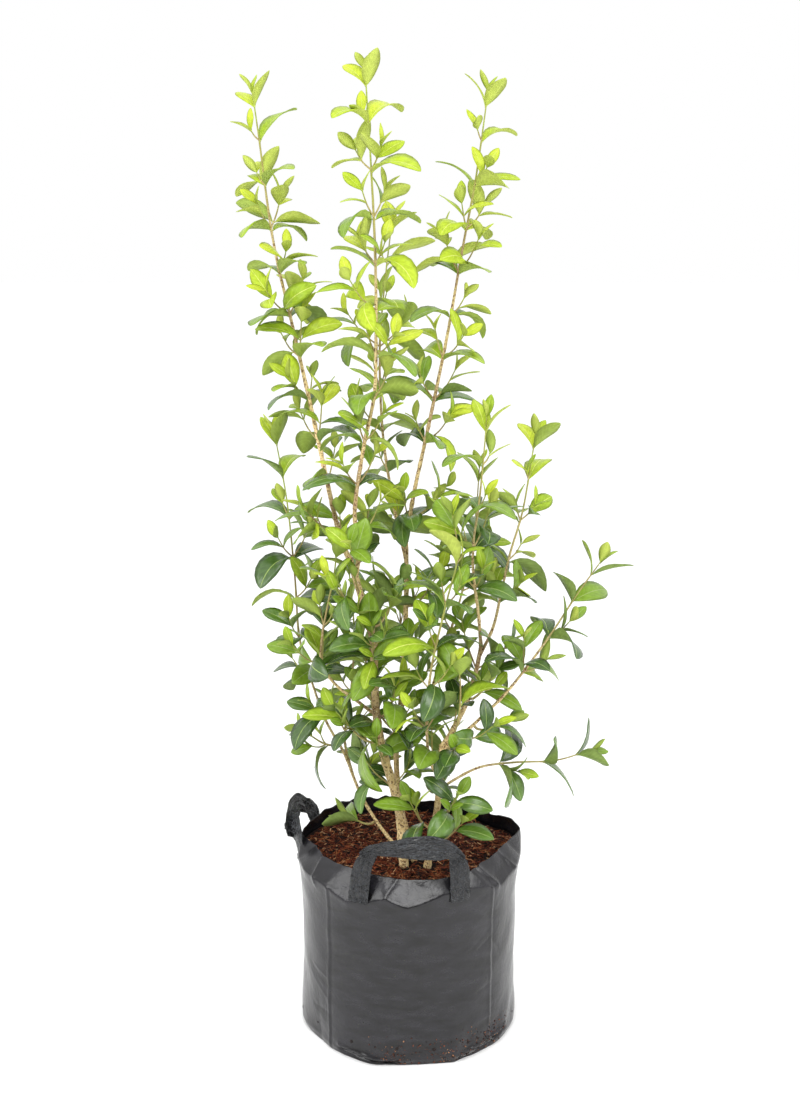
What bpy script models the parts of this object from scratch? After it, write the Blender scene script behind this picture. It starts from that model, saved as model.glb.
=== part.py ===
"""A bushy young evergreen shrub, about 1.5 m tall, in a black film nursery bag with two strap handles.

Everything is in metres with +Z up. The origin is the centre of the bag's flat underside, and the
front of the plant looks along -Y. The plant is grown by one rule: leaves stand in opposite pairs,
each pair a quarter turn from the last, with a short side shoot above each older leaf.
"""
import math
import random
from collections import namedtuple

import bmesh
import bpy
from mathutils import Vector
from mathutils.bvhtree import BVHTree

GAP = 0.0003
UP = Vector((0, 0, 1))

# The bag: a thin cup with a flat underside. The fill holds it out up to a crease, and above that the
# film leans in to an uneven rim. The plan gives, for each angle round it in degrees, the radii of its
# foot, its crease and its rim, and the height of its rim.
BAG_SIDES = 36
BAG_STEP = 2 * math.pi / BAG_SIDES
BAG_WALL = 0.0022
BAG_FOOT_SPREAD = 0.004
BAG_FOOT_HEIGHT = 0.010
BAG_BODY = ((0.1700, 0.110), (0.1712, 0.215))
CREASE_HEIGHT = 0.262
NECK_HEIGHT = 0.290
BAG_PLAN = (
    (-180, 0.172, 0.178, 0.171, 0.309), (-160, 0.162, 0.174, 0.156, 0.309),
    (-143, 0.164, 0.172, 0.160, 0.308), (-124, 0.168, 0.173, 0.154, 0.308),
    (-106, 0.171, 0.176, 0.160, 0.306), (-88, 0.168, 0.177, 0.160, 0.305),
    (-68, 0.172, 0.173, 0.166, 0.306), (-54, 0.165, 0.168, 0.162, 0.307),
    (-44, 0.163, 0.168, 0.157, 0.308), (-16, 0.163, 0.172, 0.153, 0.310),
    (8, 0.170, 0.180, 0.180, 0.311), (24, 0.170, 0.178, 0.178, 0.312),
    (38, 0.166, 0.173, 0.166, 0.311), (84, 0.166, 0.172, 0.156, 0.309),
    (110, 0.168, 0.174, 0.172, 0.312), (124, 0.168, 0.175, 0.175, 0.313),
    (150, 0.170, 0.177, 0.170, 0.311), (180, 0.172, 0.178, 0.171, 0.309),
)

# The growing medium fills the bag up to its neck, and is flat round the stems.
MEDIUM_FLAT_RADIUS = 0.120
MEDIUM_FLAT_HEIGHT = 0.285

# Each strap is a flat band in the shape of a gate, wrapped round the bag on the bag's own corners.
# Its band runs from the height under it to the height over it, lower towards its corners.
STRAP_THICKNESS = 0.0018
STRAP_RADIUS = 0.1725
STRAP_HALF_COLUMNS = 3
STRAP_CORNER = 0.64
Strap = namedtuple("Strap", "name column under over bulge")
STRAPS = (
    Strap("handle_front", -9, 0.344, (0.377, 0.374, 0.366), 0.002),
    Strap("handle_left", 16, 0.330, (0.354, 0.352, 0.346), 0.022),
)

# Limbs, in the order in which each is carried. A limb starts on the axis of the one that carries it,
# at this share of that one's length, and runs through the route's points. Its bare share is wood, a
# solid of its own, and the rest carries leaves. Foot and tip are radii. The turn, in degrees, is that
# of the top pair of leaves.
Limb = namedtuple("Limb", "name carrier share foot tip bare turn route")
LIMBS = (
    Limb("main_stem", None, 0, 0.0112, 0.0074, 1, 0, (
        (-0.008, -0.072, 0.2853), (-0.016, -0.066, 0.380), (-0.039, -0.058, 0.465),
        (-0.051, -0.053, 0.533), (-0.056, -0.048, 0.647), (-0.072, -0.045, 0.709),
        (-0.090, -0.040, 0.770))),
    Limb("right_stem", None, 0, 0.0068, 0.0056, 1, 0, (
        (0.009, -0.047, 0.2853), (-0.012, -0.040, 0.370), (-0.020, -0.028, 0.450),
        (-0.013, -0.005, 0.534), (-0.007, 0.018, 0.628), (-0.004, 0.030, 0.719),
        (-0.005, 0.037, 0.783))),
    Limb("side_stem", None, 0, 0.0084, 0.0070, 1, 0, (
        (0.028, -0.076, 0.2853), (0.043, -0.084, 0.387), (0.046, -0.088, 0.443),
        (0.050, -0.088, 0.488))),
    Limb("left", "main_stem", 1, 0.0060, 0.0014, 0.13, 40, (
        (-0.101, -0.030, 0.791), (-0.114, -0.010, 0.834), (-0.126, 0.010, 0.882),
        (-0.146, 0.035, 0.971), (-0.175, 0.055, 1.099), (-0.207, 0.065, 1.244),
        (-0.227, 0.075, 1.398), (-0.236, 0.080, 1.462))),
    Limb("middle", "main_stem", 0.94, 0.0052, 0.0014, 0.14, 48, (
        (-0.076, -0.058, 0.790), (-0.082, -0.062, 0.850), (-0.068, -0.066, 0.948),
        (-0.052, -0.072, 1.026), (-0.049, -0.078, 1.114), (-0.050, -0.085, 1.236),
        (-0.055, -0.088, 1.347), (-0.063, -0.085, 1.484))),
    Limb("right", "right_stem", 1, 0.0050, 0.0014, 0.12, 45, (
        (0.001, 0.042, 0.822), (0.011, 0.046, 0.875), (0.025, 0.050, 0.939),
        (0.044, 0.053, 1.030), (0.061, 0.055, 1.117), (0.081, 0.058, 1.234),
        (0.100, 0.060, 1.337), (0.117, 0.062, 1.462))),
    Limb("rear", "right_stem", 0.94, 0.0042, 0.0013, 0.16, 30, (
        (-0.016, 0.062, 0.796), (-0.028, 0.092, 0.850), (-0.040, 0.118, 0.925),
        (-0.045, 0.135, 0.992), (-0.046, 0.150, 1.086), (-0.036, 0.165, 1.195),
        (-0.026, 0.173, 1.275))),
    Limb("upright", "side_stem", 1, 0.0064, 0.0050, 1, 0, (
        (0.065, -0.082, 0.511), (0.087, -0.062, 0.549), (0.103, -0.038, 0.593),
        (0.111, -0.022, 0.630))),
    Limb("inner_right", "upright", 1, 0.0040, 0.0013, 0.12, 35, (
        (0.106, -0.032, 0.685), (0.097, -0.045, 0.753), (0.097, -0.052, 0.804),
        (0.104, -0.056, 0.858), (0.111, -0.060, 0.942), (0.114, -0.060, 0.990))),
    Limb("outer_right", "upright", 0.90, 0.0038, 0.0013, 0.16, 50, (
        (0.130, -0.008, 0.655), (0.144, 0.015, 0.707), (0.158, 0.040, 0.762),
        (0.179, 0.065, 0.827), (0.193, 0.082, 0.907), (0.199, 0.090, 0.942))),
    Limb("far_right", "side_stem", 0.97, 0.0044, 0.0013, 0.28, 45, (
        (0.074, -0.096, 0.505), (0.105, -0.090, 0.532), (0.152, -0.080, 0.578),
        (0.209, -0.062, 0.650), (0.255, -0.045, 0.717), (0.290, -0.034, 0.764))),
    Limb("front_right", "side_stem", 0.76, 0.0038, 0.0013, 0.18, 45, (
        (0.030, -0.116, 0.480), (0.026, -0.128, 0.545), (0.033, -0.136, 0.632),
        (0.055, -0.140, 0.733), (0.070, -0.140, 0.799), (0.062, -0.138, 0.858))),
    Limb("low_right", "side_stem", 0.66, 0.0034, 0.0013, 0.26, 40, (
        (0.075, -0.100, 0.444), (0.110, -0.108, 0.464), (0.160, -0.114, 0.473),
        (0.220, -0.120, 0.478), (0.272, -0.120, 0.494))),
    Limb("front", "side_stem", 0.90, 0.0030, 0.0013, 0.40, 45, (
        (0.064, -0.116, 0.508), (0.074, -0.136, 0.556), (0.075, -0.152, 0.608),
        (0.070, -0.158, 0.642))),
    Limb("low_left", "main_stem", 0.05, 0.0042, 0.0013, 0.34, 55, (
        (-0.030, -0.034, 0.317), (-0.055, 0.002, 0.338), (-0.080, 0.032, 0.373),
        (-0.103, 0.052, 0.427), (-0.132, 0.064, 0.477), (-0.153, 0.070, 0.534),
        (-0.175, 0.074, 0.613), (-0.182, 0.078, 0.719), (-0.193, 0.080, 0.840),
        (-0.211, 0.080, 0.948))),
    Limb("left_side", "main_stem", 0.50, 0.0040, 0.0013, 0.26, 30, (
        (-0.078, -0.050, 0.548), (-0.112, -0.042, 0.572), (-0.135, -0.038, 0.605),
        (-0.134, -0.042, 0.648), (-0.125, -0.050, 0.698), (-0.114, -0.060, 0.751),
        (-0.108, -0.068, 0.800))),
    Limb("rear_right", "right_stem", 0.38, 0.0040, 0.0013, 0.28, 45, (
        (0.016, 0.004, 0.498), (0.050, 0.062, 0.580), (0.088, 0.112, 0.690),
        (0.108, 0.142, 0.800), (0.114, 0.152, 0.880))),
    Limb("rear_left", "low_left", 0.24, 0.0034, 0.0013, 0.26, 45, (
        (-0.104, 0.072, 0.450), (-0.094, 0.110, 0.520), (-0.090, 0.150, 0.610),
        (-0.098, 0.176, 0.700), (-0.106, 0.186, 0.770))),
)

# Shoots on bare wood: the limb, the share of its bare length, the turn round it in degrees, the length.
Shoot = namedtuple("Shoot", "limb share turn length")
SHOOTS = (
    Shoot("main_stem", 0.42, -150, 0.085),
    Shoot("main_stem", 0.50, -50, 0.080),
    Shoot("main_stem", 0.60, 110, 0.080),
    Shoot("main_stem", 0.68, -90, 0.085),
    Shoot("main_stem", 0.78, 20, 0.075),
    Shoot("main_stem", 0.86, -130, 0.075),
    Shoot("right_stem", 0.42, 160, 0.080),
    Shoot("right_stem", 0.55, 10, 0.085),
    Shoot("right_stem", 0.68, 100, 0.085),
    Shoot("right_stem", 0.80, -30, 0.080),
    Shoot("side_stem", 0.26, -25, 0.050),
    Shoot("side_stem", 0.36, -150, 0.060),
    Shoot("side_stem", 0.48, -60, 0.065),
    Shoot("side_stem", 0.58, 80, 0.070),
    Shoot("low_left", 0.34, 160, 0.040),
    Shoot("low_left", 0.58, -20, 0.055),
    Shoot("low_left", 0.90, 170, 0.055),
    Shoot("upright", 0.50, -50, 0.065),
    Shoot("left", 0.50, 200, 0.060),
    Shoot("right", 0.50, 10, 0.065),
    Shoot("rear", 0.55, 90, 0.060),
    Shoot("far_right", 0.62, 20, 0.050),
)

# The growing rule. Pairs of leaves are counted down from a tip. Each list gives in turn, for one pair
# after another, how far it is from the tip, its leaves' length, their rise above the stem's cross
# section and their bend in degrees, and the length of the side shoots above it. The last entry goes
# for all pairs further down.
Rule = namedtuple("Rule", "from_tip spacing leaf rise bend shoot")
STEM_RULE = Rule((0.0, 0.022, 0.074, 0.148), 0.071, (0.030, 0.056, 0.083, 0.094, 0.092),
                 (70, 64, 56, 42, 34), (10, 25, 45, 80, 65), (0, 0, 0, 0.024, 0.050))
SHOOT_RULE = Rule((0.0, 0.022, 0.050), 0.034, (0.042, 0.064, 0.080, 0.086),
                  (66, 56, 44, 34), (15, 30, 50, 60), (0, 0, 0.022, 0.026))
TWIG_RULE = SHOOT_RULE._replace(shoot=(0, 0, 0, 0))
BARE_AT_START = 0.010
SHOOT_CHANCE = 0.60
SHOOT_RISE = 48
SHOOT_UPTURN = 0.45
SHOOT_ABOVE_LEAF = 0.004
SHOOT_STRAIGHT = 0.030
TWIG_FOOT_RADIUS = 0.0021
TWIG_TIP_RADIUS = 0.0015
LEAF_WIDTH = 0.58
LEAF_THICKNESS = 0.034
LEAF_WIDEST = 0.50
LEAF_ROOT = 0.0007
LEAF_TO_SKY = 0.25
LEAF_ROLL = 32
SEED = 11

# A shoot on bare wood stands square to the bark on a short neck, then leans up along the limb.
NECK_LENGTH = 0.005
NECK_RADIUS = 0.0026
SHOOT_LEAN = 0.9
SHOOT_KNEE = 0.35

# A leaf or twig grows only where it stays this clear of what is there. Within its own mass the part
# near its root is left out of the test.
CLEAR = 0.0016
LEAF_TEST_FROM = 0.28
TWIG_TEST_FROM = 0.5

STATION = 0.048
TAPER = 0.9
LIMB_SIDES = 8
STEM_SIDES = 5
TWIG_SIDES = 3

# Finishes: a name, a base colour and a roughness. Edges sharper than the angle stay hard.
BARK = ("bark", (0.205, 0.133, 0.088), 0.85)
LEAF = ("leaf", (0.150, 0.330, 0.040), 0.40)
FILM = ("black_film", (0.022, 0.022, 0.024), 0.38)
WEBBING = ("black_strap", (0.028, 0.028, 0.030), 0.50)
SOIL = ("bark_fibre", (0.090, 0.030, 0.014), 0.95)
SHARP_ANGLE = 40


class Path:
    """A smooth route cut into short straight pieces, read by the distance along it."""

    def __init__(self, points):
        points = [Vector(p) for p in points]
        before = points[0] * 2 - points[1]
        after = points[-1] * 2 - points[-2]
        knots = [before] + points + [after]
        self.points = [points[0]]
        for a, b, c, d in zip(knots, knots[1:], knots[2:], knots[3:]):
            pieces = max(1, round((c - b).length / STATION))
            for i in range(1, pieces + 1):
                self.points.append(catmull_rom(a, b, c, d, i / pieces))
        self.ends = [0.0]
        for a, b in zip(self.points, self.points[1:]):
            self.ends.append(self.ends[-1] + (b - a).length)
        self.length = self.ends[-1]

    def snap(self, distance):
        """The middle of the straight piece that holds this distance."""
        i = 0
        while i < len(self.points) - 2 and self.ends[i + 1] <= distance:
            i += 1
        return (self.ends[i] + self.ends[i + 1]) / 2

    def at(self, distance):
        """The place and direction at this distance from the start."""
        i = 0
        while i < len(self.points) - 2 and self.ends[i + 1] <= distance:
            i += 1
        direction = (self.points[i + 1] - self.points[i]).normalized()
        return self.points[i] + direction * (distance - self.ends[i]), direction

    def between(self, start, end):
        """The distances of both ends and of each corner between them."""
        inner = [s for s in self.ends if start + STATION / 4 < s < end - STATION / 4]
        return [start] + inner + [end]


def catmull_rom(a, b, c, d, t):
    """A curve from b to c whose slope at each of them follows its two neighbours."""
    return 0.5 * (2 * b + (c - a) * t + (2 * a - 5 * b + 4 * c - d) * t ** 2
                  + (3 * b - a - 3 * c + d) * t ** 3)


def around(direction, turn):
    """The sideways direction at this turn round a stem, in radians from the plant's right."""
    reference = Vector((1, 0, 0)) if abs(direction.x) < 0.8 else UP
    across = (reference - direction * reference.dot(direction)).normalized()
    return across * math.cos(turn) + direction.cross(across) * math.sin(turn)


def tube(centres, radii, sides, first=None, last=None):
    """A closed tapering tube with flat ends, each cut square to the tube or square to a given line."""
    cuts = {0: first, len(centres) - 1: last}
    verts, faces = [], []
    directions = [(b - a).normalized() for a, b in zip(centres, centres[1:])]
    across = around(directions[0], 0)
    for i, (centre, radius) in enumerate(zip(centres, radii)):
        before = directions[max(i - 1, 0)]
        after = directions[min(i, len(directions) - 1)]
        along = (before + after).normalized()
        across = (across - along * across.dot(along)).normalized()
        up = along.cross(across)
        for k in range(sides):
            angle = 2 * math.pi * k / sides
            point = centre + (across * math.cos(angle) + up * math.sin(angle)) * radius
            cut = cuts.get(i)
            if cut:
                point += along * ((centre - point).dot(cut) / along.dot(cut))
            verts.append(point)
    for i in range(len(centres) - 1):
        low, high = i * sides, (i + 1) * sides
        for k in range(sides):
            after = (k + 1) % sides
            faces.append((low + k, low + after, high + after, high + k))
    faces.append(tuple(range(sides - 1, -1, -1)))
    faces.append(tuple(range(len(verts) - sides, len(verts))))
    return verts, faces


Leaf = namedtuple("Leaf", "root forward upper length bend")


def leaf_solid(leaf, start=0.0, swell=0.0):
    """A thin leaf of eight triangles, bent in an arc, widest at its middle and thick along its rib."""
    across = leaf.upper.cross(leaf.forward)
    half_width = leaf.length * LEAF_WIDTH / 2 + swell
    half_thick = leaf.length * LEAF_THICKNESS / 2 + swell
    length = leaf.length + swell

    def rib(share):
        angle = leaf.bend * share / 2
        chord = leaf.forward * math.cos(angle) - leaf.upper * math.sin(angle)
        return leaf.root + chord * (length * share * math.sin(angle) / angle)

    middle = rib(LEAF_WIDEST)
    root = rib(start) if start else leaf.root - leaf.forward * LEAF_ROOT
    crown = (leaf.upper + leaf.forward * math.sin(leaf.bend / 2)).normalized()
    verts = [root, middle + across * half_width, middle - across * half_width, rib(1),
             middle + crown * half_thick, middle - crown * half_thick]
    faces = [(0, 2, 4), (2, 3, 4), (3, 1, 4), (1, 0, 4), (2, 0, 5), (3, 2, 5), (1, 3, 5), (0, 1, 5)]
    return verts, faces


def make_leaf(root, stem, turn, rise, roll, bend, length):
    """A leaf that leaves the stem at this turn and rise, its upper face towards the tip and the sky."""
    out = around(stem, turn)
    forward = out * math.cos(rise) + stem * math.sin(rise)
    upper = stem * math.cos(rise) - out * math.sin(rise) + UP * LEAF_TO_SKY
    upper = (upper - forward * upper.dot(forward)).normalized()
    upper = upper * math.cos(roll) + forward.cross(upper) * math.sin(roll)
    return Leaf(root, forward, upper, length, bend)


class Space:
    """The room already taken, in which no new twig or leaf may touch what is there."""

    def __init__(self):
        self.taken = []

    def box(self, verts):
        low = [min(v[k] for v in verts) for k in range(3)]
        high = [max(v[k] for v in verts) for k in range(3)]
        return low, high

    def is_clear(self, solid, of=lambda owner: True):
        """Whether the solid touches nothing that belongs to the owners asked for."""
        low, high = self.box(solid[0])
        tree = BVHTree.FromPolygons(*solid)
        for other_low, other_high, other, owner in self.taken:
            apart = any(low[k] > other_high[k] or high[k] < other_low[k] for k in range(3))
            if of(owner) and not apart and tree.overlap(other):
                return False
        return True

    def add(self, solid, owner=None):
        self.taken.append((*self.box(solid[0]), BVHTree.FromPolygons(*solid), owner))


class Mass:
    """One mass of foliage: its stem, its twigs and its leaves, grown into the free space."""

    def __init__(self, name, space):
        self.name = name
        self.space = space
        self.tubes = []
        self.leaves = []

    def add_leaf(self, root, stem, turn, rise, bend, length, rng):
        vary = rng.uniform
        rise = math.radians(rise + vary(-9, 9))
        bend = math.radians(bend * vary(0.6, 1.3))
        length *= vary(0.86, 1.1)
        roll = math.radians(vary(-LEAF_ROLL, LEAF_ROLL))
        leaf = make_leaf(root, stem, turn + vary(-0.25, 0.25), rise, roll, bend, length)
        if self.fits(leaf_solid(leaf, 0, CLEAR), leaf_solid(leaf, LEAF_TEST_FROM, CLEAR)):
            self.space.add(leaf_solid(leaf), self.name)
            self.leaves.append(leaf)

    def fits(self, whole, outer):
        """Whether all of a piece is clear of other solids and its outer part clear of this mass."""
        return (self.space.is_clear(whole, lambda owner: owner != self.name)
                and self.space.is_clear(outer, lambda owner: owner == self.name))

    def add_twig(self, root, stem, turn, length, rng):
        """A side shoot that curves up, with pairs of leaves that grow smaller towards its tip."""
        out = around(stem, turn)
        rise = math.radians(SHOOT_RISE + rng.uniform(-14, 12))
        start = out * math.cos(rise) + stem * math.sin(rise)
        turned = (start + UP * SHOOT_UPTURN).normalized()
        points = [root, root + (start + turned) * length / 2]
        radii = [TWIG_FOOT_RADIUS, TWIG_TIP_RADIUS]
        if length > SHOOT_STRAIGHT:
            points.insert(1, root + start * length / 2)
            radii.insert(1, (TWIG_FOOT_RADIUS + TWIG_TIP_RADIUS) / 2)
        wide = [radius + CLEAR / 2 for radius in radii]
        outer = [points[0].lerp(points[1], TWIG_TEST_FROM)] + points[1:]
        if self.fits(tube(points, wide, TWIG_SIDES), tube(outer, wide, TWIG_SIDES)):
            self.space.add(tube(points, radii, TWIG_SIDES), self.name)
            self.tubes.append((points, radii, TWIG_SIDES))
            self.dress(Path(points), BARE_AT_START, TWIG_RULE, rng.uniform(0, math.pi), rng)

    def dress(self, path, start, rule, turn, rng):
        """Set pairs of leaves, and side shoots above them, from the tip down to the start."""
        rank = 0
        while True:
            last = len(rule.from_tip) - 1
            below = rule.from_tip[min(rank, last)] + rule.spacing * max(rank - last, 0)
            if path.length - below < start:
                return
            place, stem = path.at(path.length - below)
            kind = min(rank, len(rule.leaf) - 1)
            pair_turn = turn + math.pi / 2 * rank + rng.uniform(-0.2, 0.2)
            for side in (0, math.pi):
                chance, length, seed = rng.random(), rng.uniform(0.6, 1.35), rng.random()
                if chance < SHOOT_CHANCE and rule.shoot[kind]:
                    self.add_twig(place + stem * SHOOT_ABOVE_LEAF, stem, pair_turn + side,
                                  length * rule.shoot[kind], random.Random(seed))
                self.add_leaf(place, stem, pair_turn + side, rule.rise[kind], rule.bend[kind],
                              rule.leaf[kind], rng)
            rank += 1


def new_object(name, verts, faces, finish):
    mesh = bpy.data.meshes.new(name)
    mesh.from_pydata([tuple(v) for v in verts], [], faces)
    obj = bpy.data.objects.new(name, mesh)
    bpy.context.scene.collection.objects.link(obj)
    if finish:
        mesh.materials.append(material(*finish))
    return obj


def material(name, colour, roughness):
    """A plain finish, made once and shared by its pieces."""
    found = bpy.data.materials.get(name)
    if found:
        return found
    made = bpy.data.materials.new(name)
    made.use_nodes = True
    shader = made.node_tree.nodes["Principled BSDF"]
    shader.inputs["Base Color"].default_value = (*colour, 1)
    shader.inputs["Roughness"].default_value = roughness
    shader.inputs["Metallic"].default_value = 0
    return made


def shade(obj):
    """Smooth shading that keeps real corners sharp."""
    obj.data.shade_smooth()
    obj.data.set_sharp_from_angle(angle=math.radians(SHARP_ANGLE))


def fuse(name, solids, finish):
    """Join overlapping solids into one closed mesh and drop any loose scrap."""
    crowd = bpy.data.collections.new(name + "_parts")
    bpy.context.scene.collection.children.link(crowd)
    body = new_object(name, *solids[0], finish)
    for i, solid in enumerate(solids[1:]):
        piece = new_object(f"{name}_{i}", *solid, None)
        bpy.context.scene.collection.objects.unlink(piece)
        crowd.objects.link(piece)
    union = body.modifiers.new("union", "BOOLEAN")
    union.operation = "UNION"
    union.operand_type = "COLLECTION"
    union.collection = crowd
    union.solver = "EXACT"
    joined = body.evaluated_get(bpy.context.evaluated_depsgraph_get())
    mesh = bpy.data.meshes.new_from_object(joined)
    body.modifiers.clear()
    body.data = mesh
    mesh.name = name
    mesh.materials.clear()
    mesh.materials.append(material(*finish))
    for piece in list(crowd.objects):
        bpy.data.objects.remove(piece, do_unlink=True)
    bpy.data.collections.remove(crowd)
    drop_scraps(mesh)
    return body


def drop_scraps(mesh):
    """Keep only the largest connected part of the mesh."""
    bm = bmesh.new()
    bm.from_mesh(mesh)
    left = set(bm.verts)
    groups = []
    while left:
        group, edge = set(), [left.pop()]
        while edge:
            vert = edge.pop()
            group.add(vert)
            for link in vert.link_edges:
                other = link.other_vert(vert)
                if other in left:
                    left.discard(other)
                    edge.append(other)
        groups.append(group)
    groups.sort(key=len)
    for group in groups[:-1]:
        bmesh.ops.delete(bm, geom=list(group), context="VERTS")
    bm.to_mesh(mesh)
    bm.free()


def between(low, high, share):
    return tuple(a + (b - a) * share for a, b in zip(low, high))


def bag_wall(angle):
    """The bag's outer side at this angle, as radii and heights from its foot up to its rim."""
    degrees = (math.degrees(angle) + 180) % 360 - 180
    for low, high in zip(BAG_PLAN, BAG_PLAN[1:]):
        if degrees <= high[0]:
            break
    _, foot, crease, rim, top = between(low, high, (degrees - low[0]) / (high[0] - low[0]))
    return [(foot, 0.0), (foot + BAG_FOOT_SPREAD, BAG_FOOT_HEIGHT), *BAG_BODY,
            (crease, CREASE_HEIGHT), ((crease + rim) / 2, NECK_HEIGHT), (rim, top)]


def turned(name, profile, finish):
    """A round solid, capped at both ends, whose profile of radii and heights follows its angle.

    Each of its four-sided patches is split from lower left to upper right, so that a wall and the
    fill just inside it are split alike.
    """
    rows = [profile(k * BAG_STEP) for k in range(BAG_SIDES)]
    verts = [(rows[k][i][0] * math.cos(k * BAG_STEP), rows[k][i][0] * math.sin(k * BAG_STEP), rows[k][i][1])
             for i in range(len(rows[0])) for k in range(BAG_SIDES)]
    faces = []
    for i, (this, following) in enumerate(zip(rows[0], rows[0][1:])):
        low, high = i * BAG_SIDES, (i + 1) * BAG_SIDES
        for k in range(BAG_SIDES):
            after = (k + 1) % BAG_SIDES
            if following[1] > this[1]:
                faces += [(low + k, low + after, high + after), (low + k, high + after, high + k)]
            else:
                faces += [(low + k, low + after, high + k), (low + after, high + after, high + k)]
    faces.append(tuple(range(BAG_SIDES - 1, -1, -1)))
    faces.append(tuple(range(len(verts) - BAG_SIDES, len(verts))))
    obj = new_object(name, verts, faces, finish)
    shade(obj)
    return obj


def make_bag():
    """A cup: up its outer side, over the rim, down its inner side and across its floor."""
    def profile(angle):
        outside = bag_wall(angle)
        inside = [(radius - BAG_WALL, height) for radius, height in outside[:0:-1]]
        return outside + inside + [(outside[0][0] - BAG_WALL, BAG_WALL)]

    return turned("planter_bag", profile, FILM)


def make_medium():
    """The fill: a hair inside the bag's wall up to its neck, then in to the flat round the stems."""
    inset = BAG_WALL + GAP

    def profile(angle):
        wall = bag_wall(angle)
        side = [(radius - inset, height) for radius, height in wall[1:-1]]
        return [(wall[0][0] - inset, inset), *side, (MEDIUM_FLAT_RADIUS, MEDIUM_FLAT_HEIGHT)]

    return turned("growing_medium", profile, SOIL)


def make_strap(strap):
    """Two legs down the outside of the bag and a band across, solid outwards from one face."""
    columns = range(-STRAP_HALF_COLUMNS, STRAP_HALF_COLUMNS + 1)
    verts, faces = [], []
    for column in columns:
        angle = (strap.column + column) * BAG_STEP
        on_bag = bag_wall(angle)[-3:]
        over = strap.over[min(abs(column), len(strap.over) - 1)]
        band = [strap.under, over]
        if abs(column) == STRAP_HALF_COLUMNS:
            top = on_bag[-1][1]
            band = [top + (height - top) * STRAP_CORNER for height in band]
        for radius, height in on_bag + [(STRAP_RADIUS, height) for height in band]:
            share = max(height - NECK_HEIGHT, 0) / (strap.over[0] - NECK_HEIGHT)
            radius += GAP + strap.bulge * math.sin(math.pi * share ** 0.8)
            verts.append((radius * math.cos(angle), radius * math.sin(angle), height))
    rows = len(on_bag) + len(band)
    for i, column in enumerate(columns[:-1]):
        leg = column in (-STRAP_HALF_COLUMNS, STRAP_HALF_COLUMNS - 1)
        for j in range(rows - 1):
            if leg or j == rows - 2:
                a, b = i * rows + j, (i + 1) * rows + j
                faces.append((a, b, b + 1, a + 1))
    obj = new_object(strap.name, verts, faces, WEBBING)
    mesh = bmesh.new()
    mesh.from_mesh(obj.data)
    loose = [v for v in mesh.verts if not v.link_faces]
    bmesh.ops.delete(mesh, geom=loose, context="VERTS")
    mesh.to_mesh(obj.data)
    mesh.free()
    solid = obj.modifiers.new("thickness", "SOLIDIFY")
    solid.thickness = STRAP_THICKNESS
    solid.offset = 1
    return obj


def radius_at(limb, path, distance):
    """A limb's radius at this distance: an almost even taper from its foot to its tip."""
    share = min(distance / path.length, 1)
    return limb.tip + (limb.foot - limb.tip) * (1 - share) ** TAPER


def make_limb(limb, paths, space):
    """The bare part of a limb, its foot cut to lie a hair clear of the limb that carries it."""
    path = paths[limb.name]
    end = bare_length(limb, path)
    plane = UP
    start = 0.0
    if limb.carrier:
        carrier = next(other for other in LIMBS if other.name == limb.carrier)
        under = paths[limb.carrier]
        carrier_end = under.length * limb.share
        _, along = under.at(carrier_end)
        _, leaving = path.at(0)
        if limb.share == 1:
            plane = along
            start = GAP / leaving.dot(plane)
        else:
            plane = (leaving - along * leaving.dot(along)).normalized()
            start = (radius_at(carrier, under, carrier_end) + GAP) / leaving.dot(plane)
    while True:
        distances = path.between(start, end)
        centres = [path.at(s)[0] for s in distances]
        radii = [radius_at(limb, path, s) for s in distances]
        solid = tube(centres, radii, LIMB_SIDES, plane, path.at(end)[1])
        if space.is_clear(solid):
            break
        start += GAP / 2
    space.add(solid)
    obj = new_object(limb_node(limb), *solid, BARK)
    shade(obj)
    return start


def bare_length(limb, path):
    """How far the bare wood reaches: all of the limb, or to the middle of a straight piece of it."""
    return path.length if limb.bare == 1 else path.snap(path.length * limb.bare)


def limb_node(limb):
    return limb.name if limb.name.endswith("stem") else limb.name + "_bough"


def leafy_stem(limb, path):
    """The stem of a limb's leafy rest: it goes on from the bough's end, a hair clear of it."""
    bare = bare_length(limb, path)
    distances = path.between(bare + GAP, path.length)
    centres = [path.at(s)[0] for s in distances]
    radii = [radius_at(limb, path, s) for s in distances]
    return tube(centres, radii, STEM_SIDES, path.at(bare)[1])


def shoot_stem(shoot, paths):
    """The stem of a shoot on bare wood, its foot a hair clear of the bark, and its route."""
    limb = next(other for other in LIMBS if other.name == shoot.limb)
    path = paths[shoot.limb]
    distance = path.length * limb.bare * shoot.share
    place, along = path.at(distance)
    out = around(along, math.radians(shoot.turn))
    foot = place + out * (radius_at(limb, path, distance) + GAP)
    neck = foot + out * NECK_LENGTH
    rise = (out + along * SHOOT_LEAN).normalized()
    knee = neck + rise * shoot.length * SHOOT_KNEE
    tip = knee + (rise + UP * SHOOT_UPTURN).normalized() * shoot.length * (1 - SHOOT_KNEE)
    points = [foot, neck, knee, tip]
    radii = [NECK_RADIUS, TWIG_FOOT_RADIUS, TWIG_FOOT_RADIUS, TWIG_TIP_RADIUS]
    return tube(points, radii, TWIG_SIDES, out), Path(points)


def finish_mass(mass, stem):
    solids = [stem] + [tube(*twig) for twig in mass.tubes] + [leaf_solid(leaf) for leaf in mass.leaves]
    made = fuse(mass.name, solids, LEAF)
    print(f"{mass.name}: {len(mass.leaves)} leaves, {len(made.data.polygons)} faces")
    return len(mass.leaves)


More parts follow.
